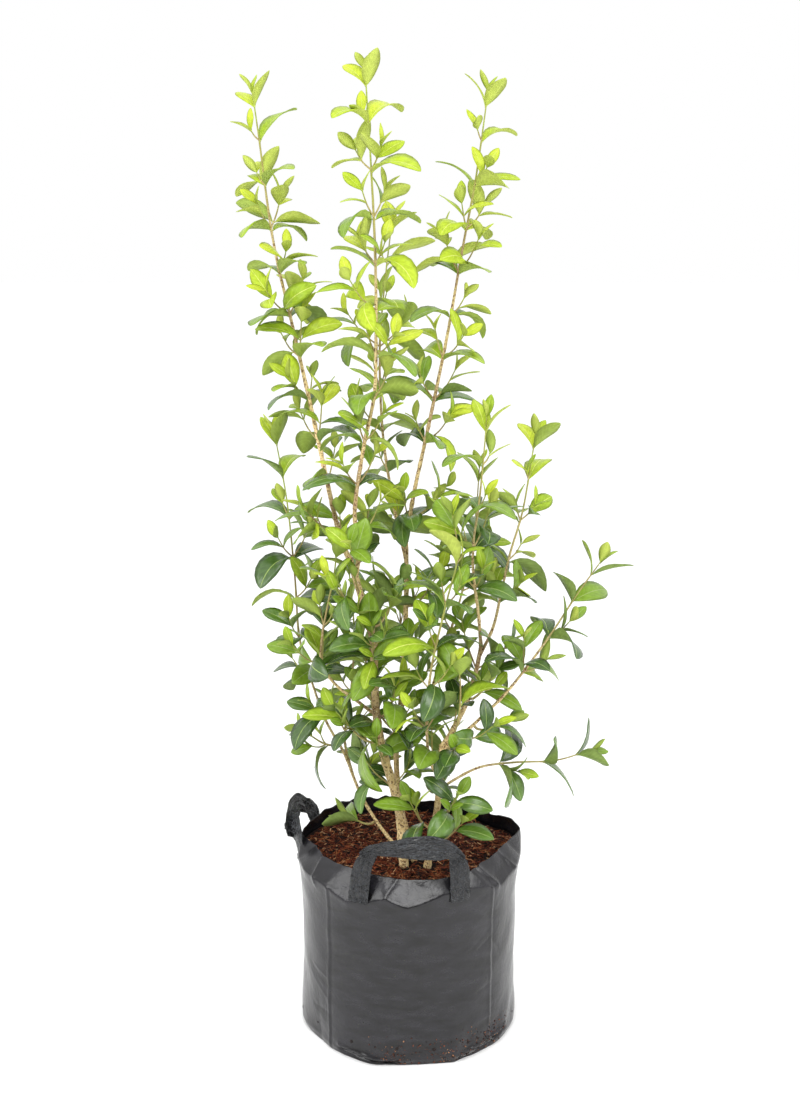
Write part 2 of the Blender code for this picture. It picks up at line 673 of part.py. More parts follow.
def main():
    for obj in list(bpy.data.objects):
        bpy.data.objects.remove(obj, do_unlink=True)
    space = Space()
    for obj in (make_bag(), make_medium(), *(make_strap(strap) for strap in STRAPS)):
        evaluated = obj.evaluated_get(bpy.context.evaluated_depsgraph_get())
        mesh = evaluated.to_mesh()
        space.add(([v.co.copy() for v in mesh.vertices], [tuple(p.vertices) for p in mesh.polygons]))
    paths = {}
    for limb in LIMBS:
        route = list(limb.route)
        if limb.carrier:
            under = paths[limb.carrier]
            route.insert(0, under.at(under.length * limb.share)[0])
        paths[limb.name] = Path(route)
    for limb in LIMBS:
        start = make_limb(limb, paths, space)
        print(f"{limb_node(limb)}: length {paths[limb.name].length:.3f} starts {start:.4f}")
    leafy = [limb for limb in LIMBS if limb.bare < 1]
    stems = {limb.name + "_foliage": leafy_stem(limb, paths[limb.name]) for limb in leafy}
    routes = {}
    counts = {}
    for shoot in SHOOTS:
        counts[shoot.limb] = counts.get(shoot.limb, 0) + 1
        name = f"{shoot.limb}_shoot_{counts[shoot.limb]}"
        stems[name], routes[name] = shoot_stem(shoot, paths)
    for name, stem in stems.items():
        if not space.is_clear(stem):
            print(f"the stem of {name} touches something")
        space.add(stem, name)
    total = 0
    for number, limb in enumerate(leafy):
        path = paths[limb.name]
        mass = Mass(limb.name + "_foliage", space)
        start = bare_length(limb, path) + BARE_AT_START
        mass.dress(path, start, STEM_RULE, math.radians(limb.turn), random.Random(SEED + number))
        total += finish_mass(mass, stems[mass.name])
    for number, (name, route) in enumerate(routes.items()):
        mass = Mass(name, space)
        rng = random.Random(SEED + len(LIMBS) + number)
        mass.dress(route, NECK_LENGTH + BARE_AT_START, SHOOT_RULE, rng.uniform(0, math.pi), rng)
        total += finish_mass(mass, stems[name])
    print(f"{total} leaves in all")


main()
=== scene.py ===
# %% [markdown]
# # A young evergreen shrub in a film nursery bag
#
# The object is a fruiting shrub of about 1.5 m, sold in a black film bag with two strap handles. Its
# solids come first, as a fixed frame in metres: +Z is up, the origin is the centre of the bag's
# underside, and the front looks along -Y. Every piece made below stands where those solids stand.

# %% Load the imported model
import math
import random
from collections import namedtuple

import bpy
import numpy as np
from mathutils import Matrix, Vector
from mathutils.bvhtree import BVHTree


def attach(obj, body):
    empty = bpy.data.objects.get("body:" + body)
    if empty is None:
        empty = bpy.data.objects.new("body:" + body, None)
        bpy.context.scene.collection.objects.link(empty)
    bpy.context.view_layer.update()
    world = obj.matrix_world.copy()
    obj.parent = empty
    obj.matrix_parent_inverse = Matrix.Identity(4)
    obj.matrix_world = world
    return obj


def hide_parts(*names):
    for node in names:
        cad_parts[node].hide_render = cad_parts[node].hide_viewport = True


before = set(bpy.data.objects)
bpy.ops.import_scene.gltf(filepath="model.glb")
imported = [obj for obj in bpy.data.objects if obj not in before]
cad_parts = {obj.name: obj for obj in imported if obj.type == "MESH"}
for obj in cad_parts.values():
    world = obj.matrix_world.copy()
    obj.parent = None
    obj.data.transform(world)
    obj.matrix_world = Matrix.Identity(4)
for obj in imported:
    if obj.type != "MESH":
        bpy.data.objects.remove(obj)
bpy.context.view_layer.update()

# %% [markdown]
# ## Small tools
#
# A paint chart gives colours as sRGB hex, but a shader wants linear light, so one function converts
# them. Each shader node could be written out in full, but one function that adds a node, with a short
# one for each kind that comes often, keeps the materials readable. Shapes are arrays of points and
# faces, and one function turns such arrays into an object.

# %% Colours and nodes
def linear(code, factor=1.0, lift=0.0):
    """An sRGB hex colour as linear red, green, blue and alpha, times the factor, plus the lift, up to 1.

    Each channel c becomes c / 12.92 near black, and ((c + 0.055) / 1.055) to the power 2.4 above that.
    """
    channels = np.array([int(code[i:i + 2], 16) for i in (1, 3, 5)]) / 255
    curve = np.where(channels <= 0.04045, channels / 12.92, ((channels + 0.055) / 1.055) ** 2.4)
    return (*np.minimum(curve * factor + lift, 1).tolist(), 1.0)


class Paint:
    """A node material, or a world, in the making. Its methods add a node and give its output."""

    def __init__(self, name, kind=bpy.data.materials):
        self.made = kind.new(name)
        self.made.use_nodes = True
        self.tree = self.made.node_tree
        self.place = self.add("TexCoord", out="Object")

    def feed(self, node, inputs):
        """Link an input where the value is another node's output, and set it otherwise."""
        for name, value in inputs.items():
            if isinstance(value, bpy.types.NodeSocket):
                self.tree.links.new(value, node.inputs[name])
            elif value is not None:
                node.inputs[name].default_value = value

    def add(self, kind, inputs=None, out=0, stops=(), **settings):
        """Add one node with its settings, its inputs and, on a ramp, its colour stops."""
        node = self.tree.nodes.new("ShaderNode" + kind)
        for name, value in settings.items():
            setattr(node, name, value)
        self.feed(node, inputs or {})
        for number, (place, *colour) in enumerate(stops):
            elements = node.color_ramp.elements
            stop = elements[number] if number < 2 else elements.new(place)
            stop.position = place
            stop.color = linear(*colour)
        return node.outputs[out]

    def attribute(self, name):
        """A number that the mesh keeps at each point."""
        return self.add("Attribute", out="Fac", attribute_name=name)

    def noise(self, scale, detail=2, roughness=0.5, distortion=0, place=None):
        """Soft noise from 0 to 1 with this many features a metre."""
        return self.add("TexNoise", {"Vector": place or self.place, "Scale": scale, "Detail": detail,
                                     "Roughness": roughness, "Distortion": distortion})

    def ramp(self, factor, *stops):
        """Colours along a factor. A stop is a place, a hex code and what its light is multiplied by."""
        return self.add("ValToRGB", {"Fac": factor}, stops=stops)

    def math(self, operation, *values):
        """A sum, product or other operation on up to three values."""
        return self.add("Math", dict(enumerate(values)), operation=operation)

    def spread(self, value, start, end, low=0, high=1, **settings):
        """The range from start to end moved evenly to the range from low to high, and held there."""
        return self.add("MapRange", {"Value": value, "From Min": start, "From Max": end,
                                     "To Min": low, "To Max": high}, **settings)

    def mix(self, share, under, over, **settings):
        """One colour laid over another by a share."""
        return self.add("Mix", {0: share, 6: under, 7: over}, 2, data_type="RGBA", **settings)

    def bump(self, height, strength, distance):
        """Relief too fine for the mesh."""
        return self.add("Bump", {"Height": height, "Strength": strength, "Distance": distance})

    def finish(self, colour, roughness, relief=None, index=None, level=None):
        """Feed the shader, its index of refraction and level of gloss too, and give the material."""
        self.feed(self.tree.nodes["Principled BSDF"],
                  {"Base Color": colour, "Roughness": roughness, "Normal": relief, "IOR": index,
                   "Specular IOR Level": level})
        return self.made


def speckled(name, scale, detail, roughness, *stops, level=None):
    """A matt material in the colours of a few stops, dealt out by one noise."""
    paint = Paint(name)
    return paint.finish(paint.ramp(paint.noise(scale, detail), *stops), roughness, level=level)


print("pale leaf green in linear light:", [round(value, 3) for value in linear("#9CC23A")])

# %% Points and faces
def tube_faces(rings, sides, start=0, turned=False):
    """The quads of a tube, and the two flat ends that close it.

    The quad at ring i and side j joins points (i, j), (i, j + 1), (i + 1, j + 1) and (i + 1, j). Where
    the rings run the other way round, the faces are turned, so that they look outwards too.
    """
    i, j = np.meshgrid(np.arange(rings - 1) * sides, np.arange(sides), indexing="ij")
    after = (j + 1) % sides
    quads = np.stack([i + j, i + after, i + sides + after, i + sides + j], -1).reshape(-1, 4)
    ends = np.array([np.arange(sides)[::-1], np.arange(sides) + (rings - 1) * sides])
    step = -1 if turned else 1
    return [quads[:, ::step] + start, ends[:, ::step] + start]


def copies(faces, count, size):
    """The same faces for each of many equal parts of one mesh, which have this many points each."""
    return (faces[None] + (np.arange(count) * size)[:, None, None]).reshape(-1, faces.shape[1])


def make_piece(name, points, faces, materials, material_index=None, smooth=True):
    """An object from an array of points and a list of face arrays, with its place in its mesh."""
    mesh = bpy.data.meshes.new(name)
    rows = [row for part in faces for row in part.tolist()]
    mesh.from_pydata(np.asarray(points).reshape(-1, 3).tolist(), [], rows)
    for finish in materials:
        mesh.materials.append(finish)
    if material_index is not None:
        mesh.polygons.foreach_set("material_index", np.asarray(material_index, dtype=np.int32))
    if smooth:
        mesh.shade_smooth()
    piece = bpy.data.objects.new(name, mesh)
    bpy.context.scene.collection.objects.link(piece)
    return piece


def mark(piece, name, values):
    """Keep one number per point on the mesh, for its material to read by name."""
    layer = piece.data.attributes.new(name, "FLOAT", "POINT")
    layer.data.foreach_set("value", np.asarray(values, dtype=np.float32).ravel())


def settle(piece, slot, *nodes):
    """Fix a finished piece to the plant and hide the solids that it stands for. The slot is not used."""
    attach(piece, "root")
    if nodes:
        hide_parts(*nodes)
    triangles = sum(len(face.vertices) - 2 for face in piece.data.polygons)
    print(f"{piece.name}: {triangles} triangles, stands for {len(nodes)} solids")


def unit(vectors):
    """Vectors divided by their own lengths."""
    return vectors / np.linalg.norm(vectors, axis=-1, keepdims=True)


def outward(degrees):
    """The level direction away from the bag's middle at each angle."""
    radians = np.radians(degrees)
    return np.stack([np.cos(radians), np.sin(radians), 0 * radians], -1)


def smooth_step(low, high, values):
    """0 below low and 1 above high, with the curve 3 t squared minus 2 t cubed in between."""
    t = np.clip((values - low) / (high - low), 0, 1)
    return t * t * (3 - 2 * t)


print("quads and ends of a tube of 3 rings and 8 sides:", [len(part) for part in tube_faces(3, 8)])

# %% Waves and folds
WAVE_GAIN = 1.6


def swell(points, rng, length, count=7):
    """Soft unevenness from -1 to 1: the mean of sine waves of about this length in random directions."""
    total = np.zeros(points.shape[:-1])
    for direction in unit(rng.normal(size=(count, 3))):
        pitch = length * rng.uniform(0.7, 1.4)
        total += np.sin((points @ direction) * 2 * math.pi / pitch + rng.uniform(0, 2 * math.pi))
    return total / count * WAVE_GAIN


def folds(points, rng, length, count=5):
    """Creased facets from -1 to 1: the mean of triangle waves, each flat between its straight folds."""
    total = np.zeros(points.shape[:-1])
    for direction in unit(rng.normal(size=(count, 3))):
        pitch = length * rng.uniform(0.6, 1.5)
        phase = (points @ direction) / pitch + rng.uniform(0, 1)
        total += 4 * np.abs(phase - np.floor(phase) - 0.5) - 1
    return total / count * WAVE_GAIN


print("means of waves are multiplied by", WAVE_GAIN, "to fill the range from -1 to 1")

# %% [markdown]
# ## The camera
#
# The photograph looks slightly down on the plant from chest height. A camera could be aimed by a
# constraint, but a plain place, tilt and focal length are easier to check. These three were worked out
# from the bag's round foot, its rim and the tips of the stems.

# %% Camera
CAMERA_PLACE = (-0.0142, -2.560, 1.336)
CAMERA_TILT = 12.25
CAMERA_LENS = 55.84
camera = bpy.data.objects.new("camera", bpy.data.cameras.new("camera"))
camera.data.lens = CAMERA_LENS
camera.location = CAMERA_PLACE
camera.rotation_euler = (math.radians(90 - CAMERA_TILT), 0, 0)
bpy.context.scene.collection.objects.link(camera)
bpy.context.scene.camera = camera
print("camera at", CAMERA_PLACE, "tilt", CAMERA_TILT, "lens", CAMERA_LENS)

# %% [markdown]
# ## The plan of the plant
#
# Three woody stems rise from the pot and fork into long, straight shoots. Each limb is a route through
# a few points, smoothed by a Catmull-Rom curve, that starts on the limb which carries it. A hand-drawn
# curve per branch would look as good, but routes with named radii can be grown on by a rule.

# %% Limbs and shoots
# Each limb: its carrier and the share of the carrier's length where it starts, the share of its own
# length that is bare, the turn of its first pair of leaves in degrees, and then in millimetres its
# radius at the foot and at the tip, and its route.
Limb = namedtuple("Limb", "name carrier share bare turn foot tip route")
LIMBS = [Limb(*plan, foot / 1000, tip / 1000, np.array(route) / 1000) for *plan, foot, tip, route in (
    ("main_stem", None, 0, 1, 0, 11.2, 7.4, ((-8, -72, 285.3), (-16, -66, 380), (-39, -58, 465),
     (-51, -53, 533), (-56, -48, 647), (-72, -45, 709), (-90, -40, 770))),
    ("right_stem", None, 0, 1, 0, 6.8, 5.6, ((9, -47, 285.3), (-12, -40, 370), (-20, -28, 450),
     (-13, -5, 534), (-7, 18, 628), (-4, 30, 719), (-5, 37, 783))),
    ("side_stem", None, 0, 1, 0, 8.4, 7, ((28, -76, 285.3), (43, -84, 387), (46, -88, 443),
     (50, -88, 488))),
    ("left", "main_stem", 1, 0.13, 40, 6, 1.4, ((-101, -30, 791), (-114, -10, 834), (-126, 10, 882),
     (-146, 35, 971), (-175, 55, 1099), (-207, 65, 1244), (-227, 75, 1398), (-236, 80, 1462))),
    ("middle", "main_stem", 0.94, 0.14, 48, 5.2, 1.4, ((-76, -58, 790), (-82, -62, 850),
     (-68, -66, 948), (-52, -72, 1026), (-49, -78, 1114), (-50, -85, 1236), (-55, -88, 1347),
     (-63, -85, 1484))),
    ("right", "right_stem", 1, 0.12, 45, 5, 1.4, ((1, 42, 822), (11, 46, 875), (25, 50, 939),
     (44, 53, 1030), (61, 55, 1117), (81, 58, 1234), (100, 60, 1337), (117, 62, 1462))),
    ("rear", "right_stem", 0.94, 0.16, 30, 4.2, 1.3, ((-16, 62, 796), (-28, 92, 850), (-40, 118, 925),
     (-45, 135, 992), (-46, 150, 1086), (-36, 165, 1195), (-26, 173, 1275))),
    ("upright", "side_stem", 1, 1, 0, 6.4, 5, ((65, -82, 511), (87, -62, 549), (103, -38, 593),
     (111, -22, 630))),
    ("inner_right", "upright", 1, 0.12, 35, 4, 1.3, ((106, -32, 685), (97, -45, 753), (97, -52, 804),
     (104, -56, 858), (111, -60, 942), (114, -60, 990))),
    ("outer_right", "upright", 0.90, 0.16, 50, 3.8, 1.3, ((130, -8, 655), (144, 15, 707),
     (158, 40, 762), (179, 65, 827), (193, 82, 907), (199, 90, 942))),
    ("far_right", "side_stem", 0.97, 0.28, 45, 4.4, 1.3, ((74, -96, 505), (105, -90, 532),
     (152, -80, 578), (209, -62, 650), (255, -45, 717), (290, -34, 764))),
    ("front_right", "side_stem", 0.76, 0.18, 45, 3.8, 1.3, ((30, -116, 480), (26, -128, 545),
     (33, -136, 632), (55, -140, 733), (70, -140, 799), (62, -138, 858))),
    ("low_right", "side_stem", 0.66, 0.26, 40, 3.4, 1.3, ((75, -100, 444), (110, -108, 464),
     (160, -114, 473), (220, -120, 478), (272, -120, 494))),
    ("front", "side_stem", 0.90, 0.40, 45, 3, 1.3, ((64, -116, 508), (74, -136, 556), (75, -152, 608),
     (70, -158, 642))),
    ("low_left", "main_stem", 0.05, 0.34, 55, 4.2, 1.3, ((-30, -34, 317), (-55, 2, 338), (-80, 32, 373),
     (-103, 52, 427), (-132, 64, 477), (-153, 70, 534), (-175, 74, 613), (-182, 78, 719),
     (-193, 80, 840), (-211, 80, 948))),
    ("left_side", "main_stem", 0.50, 0.26, 30, 4, 1.3, ((-78, -50, 548), (-112, -42, 572),
     (-135, -38, 605), (-134, -42, 648), (-125, -50, 698), (-114, -60, 751), (-108, -68, 800))),
    ("rear_right", "right_stem", 0.38, 0.28, 45, 4, 1.3, ((16, 4, 498), (50, 62, 580), (88, 112, 690),
     (108, 142, 800), (114, 152, 880))),
    ("rear_left", "low_left", 0.24, 0.26, 45, 3.4, 1.3, ((-104, 72, 450), (-94, 110, 520),
     (-90, 150, 610), (-98, 176, 700), (-106, 186, 770))))]

# Shoots on the bare wood of each limb: the share of its bare length, the turn in degrees and the length
# in millimetres.
Shoot = namedtuple("Shoot", "limb share turn length")
SHOOTS = [Shoot(limb, share, turn, length / 1000) for limb, *shoots in (
    ("main_stem", (0.42, -150, 85), (0.50, -50, 80), (0.60, 110, 80), (0.68, -90, 85), (0.78, 20, 75),
     (0.86, -130, 75)),
    ("right_stem", (0.42, 160, 80), (0.55, 10, 85), (0.68, 100, 85), (0.80, -30, 80)),
    ("side_stem", (0.26, -25, 50), (0.36, -150, 60), (0.48, -60, 65), (0.58, 80, 70)),
    ("low_left", (0.34, 160, 40), (0.58, -20, 55), (0.90, 170, 55)),
    ("upright", (0.50, -50, 65)),
    ("left", (0.50, 200, 60)),
    ("right", (0.50, 10, 65)),
    ("rear", (0.55, 90, 60)),
    ("far_right", (0.62, 20, 50))) for share, turn, length in shoots]
print("limbs:", len(LIMBS), "shoots on bare wood:", len(SHOOTS))

# %% [markdown]
# ## How the shrub grows
#
# Its leaves stand in opposite pairs, each pair a quarter turn from the last, and a side shoot rises
# above each older leaf. Scattering leaves at random over the twigs would lose that order, which is
# what makes the species recognisable. So each twig and leaf is placed by the rule, from the tip down,
# and dropped where it would touch what is already there.

# %% Routes
STATION = 0.006
UP = Vector((0, 0, 1))


class Path:
    """A smooth route cut into short straight pieces, read by the distance along it."""

    def __init__(self, points):
        points = [Vector(p) for p in points]
        before = points[0] * 2 - points[1]
        after = points[-1] * 2 - points[-2]
        knots = [before] + points + [after]
        self.points = [points[0]]
        for a, b, c, d in zip(knots, knots[1:], knots[2:], knots[3:]):
            pieces = max(1, round((c - b).length / STATION))
            self.points += [catmull_rom(a, b, c, d, (i + 1) / pieces) for i in range(pieces)]
        self.ends = [0.0]
        for a, b in zip(self.points, self.points[1:]):
            self.ends.append(self.ends[-1] + (b - a).length)
        self.length = self.ends[-1]

    def at(self, distance):
        """The place and direction at this distance from the start."""
        i = int(np.searchsorted(self.ends, distance, side="right")) - 1
        i = max(0, min(i, len(self.points) - 2))
        direction = (self.points[i + 1] - self.points[i]).normalized()
        return self.points[i] + direction * (distance - self.ends[i]), direction


def catmull_rom(a, b, c, d, t):
    """A curve from b to c whose slope at each of them follows its two neighbours."""
    return 0.5 * (2 * b + (c - a) * t + (2 * a - 5 * b + 4 * c - d) * t ** 2
                  + (3 * b - a - 3 * c + d) * t ** 3)


def around(direction, turn):
    """The sideways direction at this turn round a stem, in radians from the plant's right."""
    reference = Vector((1, 0, 0)) if abs(direction.x) < 0.8 else UP
    across = (reference - direction * reference.dot(direction)).normalized()
    return across * math.cos(turn) + direction.cross(across) * math.sin(turn)


paths = {}
for limb in LIMBS:
    route = list(limb.route)
    if limb.carrier:
        under = paths[limb.carrier]
        route.insert(0, under.at(under.length * limb.share)[0])
    paths[limb.name] = Path(route)
print("limbs:", {name: round(path.length, 3) for name, path in paths.items()})

# %% The growing rule
# Pairs of leaves are counted down from a tip. Each list gives in turn, for one pair after another, how
# far it is from the tip, its leaves' length, their rise above the stem's cross section and their bend
# in degrees, and the length of the side shoots above it. The last entry goes for all further pairs.
Rule = namedtuple("Rule", "from_tip spacing leaf rise bend shoot")
STEM_RULE = Rule((0.0, 0.022, 0.074, 0.140), 0.066, (0.034, 0.062, 0.088, 0.092, 0.088),
                 (70, 64, 56, 42, 34), (15, 40, 75, 95, 85), (0, 0, 0.014, 0.034, 0.056))
SHOOT_RULE = Rule((0.0, 0.018, 0.046), 0.034, (0.038, 0.062, 0.080, 0.086),
                  (66, 54, 42, 34), (20, 45, 75, 85), (0, 0, 0.022, 0.028))
TWIG_RULE = SHOOT_RULE._replace(leaf=(0.036, 0.058, 0.074, 0.078), shoot=(0, 0, 0, 0.016))
SPRIG_RULE = TWIG_RULE._replace(leaf=(0.032, 0.048, 0.058, 0.062), shoot=(0, 0, 0, 0))
# The rules of a side shoot of the first, second and third order.
SIDE_RULES = (TWIG_RULE, TWIG_RULE, SPRIG_RULE)
BARE_AT_START = 0.009
SHOOT_CHANCE = 0.84
SHOOT_RISE = 48
SHOOT_UPTURN = 0.45
SHOOT_ABOVE_LEAF = 0.004
LEAF_TO_SKY = 0.25
LEAF_ROLL = 32
SEED = 11

# A leaf or twig grows only where it stays this clear of what is there. Near its root it isn't tested.
CLEAR = 0.0008
LEAF_TEST_WIDTH = 0.46
LEAF_TEST_THICKNESS = 0.06
LEAF_TEST_FROM = 0.24
TWIG_TEST_FROM = 0.5
TWIG_FOOT_RADIUS = 0.0014
TWIG_TIP_RADIUS = 0.0009

Leaf = namedtuple("Leaf", "root forward upper length bend below order")
Twig = namedtuple("Twig", "points foot tip order")


def leaf_hull(leaf):
    """Eight triangles round a leaf's outer part: its rib is an arc, and it is widest at its middle."""
    across = leaf.upper.cross(leaf.forward)
    half_width = leaf.length * LEAF_TEST_WIDTH / 2 + CLEAR
    half_thick = leaf.length * LEAF_TEST_THICKNESS / 2 + CLEAR

    def rib(share):
        """The point this far along the arc: its chord is the length times sine over angle."""
        angle = leaf.bend * share / 2
        chord = leaf.forward * math.cos(angle) - leaf.upper * math.sin(angle)
        return leaf.root + chord * (leaf.length * share * math.sin(angle) / angle)

    middle, root, tip = rib(0.52), rib(LEAF_TEST_FROM), rib(1)
    crown = (leaf.upper + leaf.forward * math.sin(leaf.bend / 2)).normalized()
    points = [root, middle + across * half_width, middle - across * half_width, tip,
              middle + crown * half_thick, middle - crown * half_thick]
    return points, [(0, 2, 4), (2, 3, 4), (3, 1, 4), (1, 0, 4),
                    (2, 0, 5), (3, 2, 5), (1, 3, 5), (0, 1, 5)]


def rod_hull(start, end, radius):
    """A rod between two points, with corners at each third of a turn."""
    along = (end - start).normalized()
    corners = [around(along, turn) * radius for turn in (0, 2.094, 4.189)]
    points = [start + corner for corner in corners] + [end + corner for corner in corners]
    return points, [(0, 1, 4, 3), (1, 2, 5, 4), (2, 0, 3, 5), (2, 1, 0), (3, 4, 5)]


class Space:
    """The room already taken, in which no new twig or leaf may touch what is there."""

    def __init__(self, most=6000):
        self.boxes = np.zeros((most, 2, 3))
        self.trees = []

    def is_clear(self, hull):
        """Whether a hull touches nothing: only what its box meets is tested face by face."""
        points = np.array(hull[0])
        low, high = self.boxes[:len(self.trees)].swapaxes(0, 1)
        near = np.all((low <= points.max(0)) & (high >= points.min(0)), axis=1)
        tree = BVHTree.FromPolygons(*hull)
        return not any(tree.overlap(self.trees[i]) for i in np.nonzero(near)[0])

    def add(self, hull):
        """Take a hull's room."""
        points = np.array(hull[0])
        self.boxes[len(self.trees)] = points.min(0), points.max(0)
        self.trees.append(BVHTree.FromPolygons(*hull))


print("leaf lengths down from the tip of a stem:", STEM_RULE.leaf)

# %% Growing
class Plant:
    """All the twigs and leaves, grown into the free space."""

    def __init__(self, space):
        self.space = space
        self.leaves = []
        self.twigs = []

    def add_leaf(self, root, stem, turn, rise, bend, length, below, order, rng):
        """A leaf that leaves the stem at this turn and rise, its upper face towards the tip and the sky."""
        vary = rng.uniform
        rise = math.radians(rise + vary(-9, 9))
        bend = math.radians(bend * vary(0.6, 1.3))
        length *= vary(0.86, 1.1)
        roll = math.radians(vary(-LEAF_ROLL, LEAF_ROLL))
        out = around(stem, turn + vary(-0.25, 0.25))
        forward = out * math.cos(rise) + stem * math.sin(rise)
        upper = stem * math.cos(rise) - out * math.sin(rise) + UP * LEAF_TO_SKY
        upper = (upper - forward * upper.dot(forward)).normalized()
        upper = upper * math.cos(roll) + forward.cross(upper) * math.sin(roll)
        leaf = Leaf(root, forward, upper, length, bend, below, order)
        if self.space.is_clear(leaf_hull(leaf)):
            self.space.add(leaf_hull(leaf))
            self.leaves.append(leaf)

    def add_twig(self, root, stem, turn, length, order, rng):
        """A side shoot that curves up, with pairs of leaves that grow smaller towards its tip."""
        out = around(stem, turn)
        rise = math.radians(SHOOT_RISE + rng.uniform(-14, 12))
        start = out * math.cos(rise) + stem * math.sin(rise)
        turned = (start + UP * SHOOT_UPTURN).normalized()
        points = [root, root + start * length / 2, root + (start + turned) * length / 2]
        foot = points[0].lerp(points[1], TWIG_TEST_FROM)
        hulls = [rod_hull(a, b, TWIG_FOOT_RADIUS + CLEAR) for a, b in ((foot, points[1]), points[1:])]
        if all(self.space.is_clear(hull) for hull in hulls):
            for hull in hulls:
                self.space.add(hull)
            self.twigs.append(Twig(points, TWIG_FOOT_RADIUS, TWIG_TIP_RADIUS, order))
            self.dress(Path(points), BARE_AT_START, SIDE_RULES[order - 1], rng.uniform(0, math.pi),
                       order, rng)

    def dress(self, path, start, rule, turn, order, rng):
        """Set pairs of leaves, and side shoots above them, from the tip down to the start."""
        rank = 0
        while True:
            last = len(rule.from_tip) - 1
            below = rule.from_tip[min(rank, last)] + rule.spacing * max(rank - last, 0)
            if path.length - below < start:
                return
            place, stem = path.at(path.length - below)
            kind = min(rank, len(rule.leaf) - 1)
            pair_turn = turn + math.pi / 2 * rank + rng.uniform(-0.2, 0.2)
            for side in (0, math.pi):
                chance, length, seed = rng.random(), rng.uniform(0.6, 1.35), rng.random()
                if chance < SHOOT_CHANCE and rule.shoot[kind]:
                    self.add_twig(place + stem * SHOOT_ABOVE_LEAF, stem, pair_turn + side,
                                  length * rule.shoot[kind], order + 1, random.Random(seed))
                self.add_leaf(place, stem, pair_turn + side, rule.rise[kind], rule.bend[kind],
                              rule.leaf[kind], below, order, rng)
            rank += 1


rules = (STEM_RULE, SHOOT_RULE, *SIDE_RULES)
print("longest leaf on a stem, a shoot and side shoots of each order:", [max(rule.leaf) for rule in rules])

# %% Grow the shrub
TAPER = 0.9
NECK_LENGTH = 0.005
SHOOT_LEAN = 0.9
SHOOT_KNEE = 0.35
SHOOT_FOOT_RADIUS = 0.0022
LIMB_TEST_STEP = 0.04
# The visible bark is slimmer than a limb's solid, so a shoot starts at this share of its radius.
ROOT_DEPTH = 0.45


def radius_at(limb, distance):
    """A limb's radius: from foot to tip along (1 - share of its length) to the power TAPER."""
    share = np.minimum(distance / paths[limb.name].length, 1)
    return limb.tip + (limb.foot - limb.tip) * (1 - share) ** TAPER


def shoot_route(shoot):
    """A shoot on bare wood: square out of the bark, then up along the limb, then up to the light."""
    limb = next(other for other in LIMBS if other.name == shoot.limb)
    path = paths[shoot.limb]
    distance = path.length * limb.bare * shoot.share
    place, along = path.at(distance)
    out = around(along, math.radians(shoot.turn))
    foot = place + out * radius_at(limb, distance) * ROOT_DEPTH
    neck = place + out * (radius_at(limb, distance) + NECK_LENGTH)
    rise = (out + along * SHOOT_LEAN).normalized()
    knee = neck + rise * shoot.length * SHOOT_KNEE
    tip = knee + (rise + UP * SHOOT_UPTURN).normalized() * shoot.length * (1 - SHOOT_KNEE)
    return [foot, neck, knee, tip]


space = Space()
for limb in LIMBS:
    path = paths[limb.name]
    stations = np.linspace(0, path.length, max(3, round(path.length / LIMB_TEST_STEP)))
    joints = [path.at(distance)[0] for distance in stations]
    for a, b, distance in zip(joints, joints[1:], stations):
        space.add(rod_hull(a, b, radius_at(limb, distance)))
plant = Plant(space)
for number, limb in enumerate(limb for limb in LIMBS if limb.bare < 1):
    path = paths[limb.name]
    plant.dress(path, path.length * limb.bare + BARE_AT_START, STEM_RULE, math.radians(limb.turn), 0,
                random.Random(SEED + number))
for number, shoot in enumerate(SHOOTS):
    route = shoot_route(shoot)
    plant.twigs.append(Twig(route, SHOOT_FOOT_RADIUS, TWIG_TIP_RADIUS, 1))
    rng = random.Random(SEED + len(LIMBS) + number)
    plant.dress(Path(route), NECK_LENGTH + BARE_AT_START, SHOOT_RULE, rng.uniform(0, math.pi), 1, rng)
print("leaves:", len(plant.leaves), "twigs:", len(plant.twigs))

# %% Short shoots on old wood
# Bare wood keeps short shoots at its nodes, in pairs, from a hand above the pot to its end.
OLD_NODE_STEP = 0.034
OLD_WOOD_FROM = 0.40
OLD_SHOOT_CHANCE = 0.56
OLD_LEAF_CHANCE = 0.50
OLD_LEAF_LENGTH = 0.076
OLD_LEAF_RISE = 40
OLD_LEAF_BEND = 70
FAR_FROM_TIP = 0.3
rng = random.Random(SEED + 1000)
for limb in LIMBS:
    path = paths[limb.name]
    for number in range(1, int(path.length * limb.bare / OLD_NODE_STEP)):
        distance = number * OLD_NODE_STEP
        place, along = path.at(distance)
        if place.z < OLD_WOOD_FROM:
            continue
        turn = math.pi / 2 * number + rng.uniform(-0.5, 0.5)
        for side in (0, math.pi):
            bark_root = place + around(along, turn + side) * radius_at(limb, distance) * ROOT_DEPTH
            if rng.random() < OLD_SHOOT_CHANCE:
                plant.add_twig(bark_root, along, turn + side, rng.uniform(0.030, 0.085), 1,
                               random.Random(rng.random()))
            if rng.random() < OLD_LEAF_CHANCE:
                plant.add_leaf(bark_root - along * SHOOT_ABOVE_LEAF, along, turn + side,
                               OLD_LEAF_RISE, OLD_LEAF_BEND, OLD_LEAF_LENGTH * rng.uniform(0.6, 1.15),
                               FAR_FROM_TIP, 1, rng)
print("leaves:", len(plant.leaves), "twigs:", len(plant.twigs))

# %% [markdown]
# ## The leaves
#
# A leaf of this shrub is a stiff oval of 3 to 8 cm on a short stalk. It is folded up along its pale
# rib, arched down towards its blunt tip and matt below. A flat card with a picture would be quicker,
# but it looks flat from the side. Instead one closed surface is worked out for all leaves at once: a
# grid along and across the leaf, whose width, fold and bend are formulas.

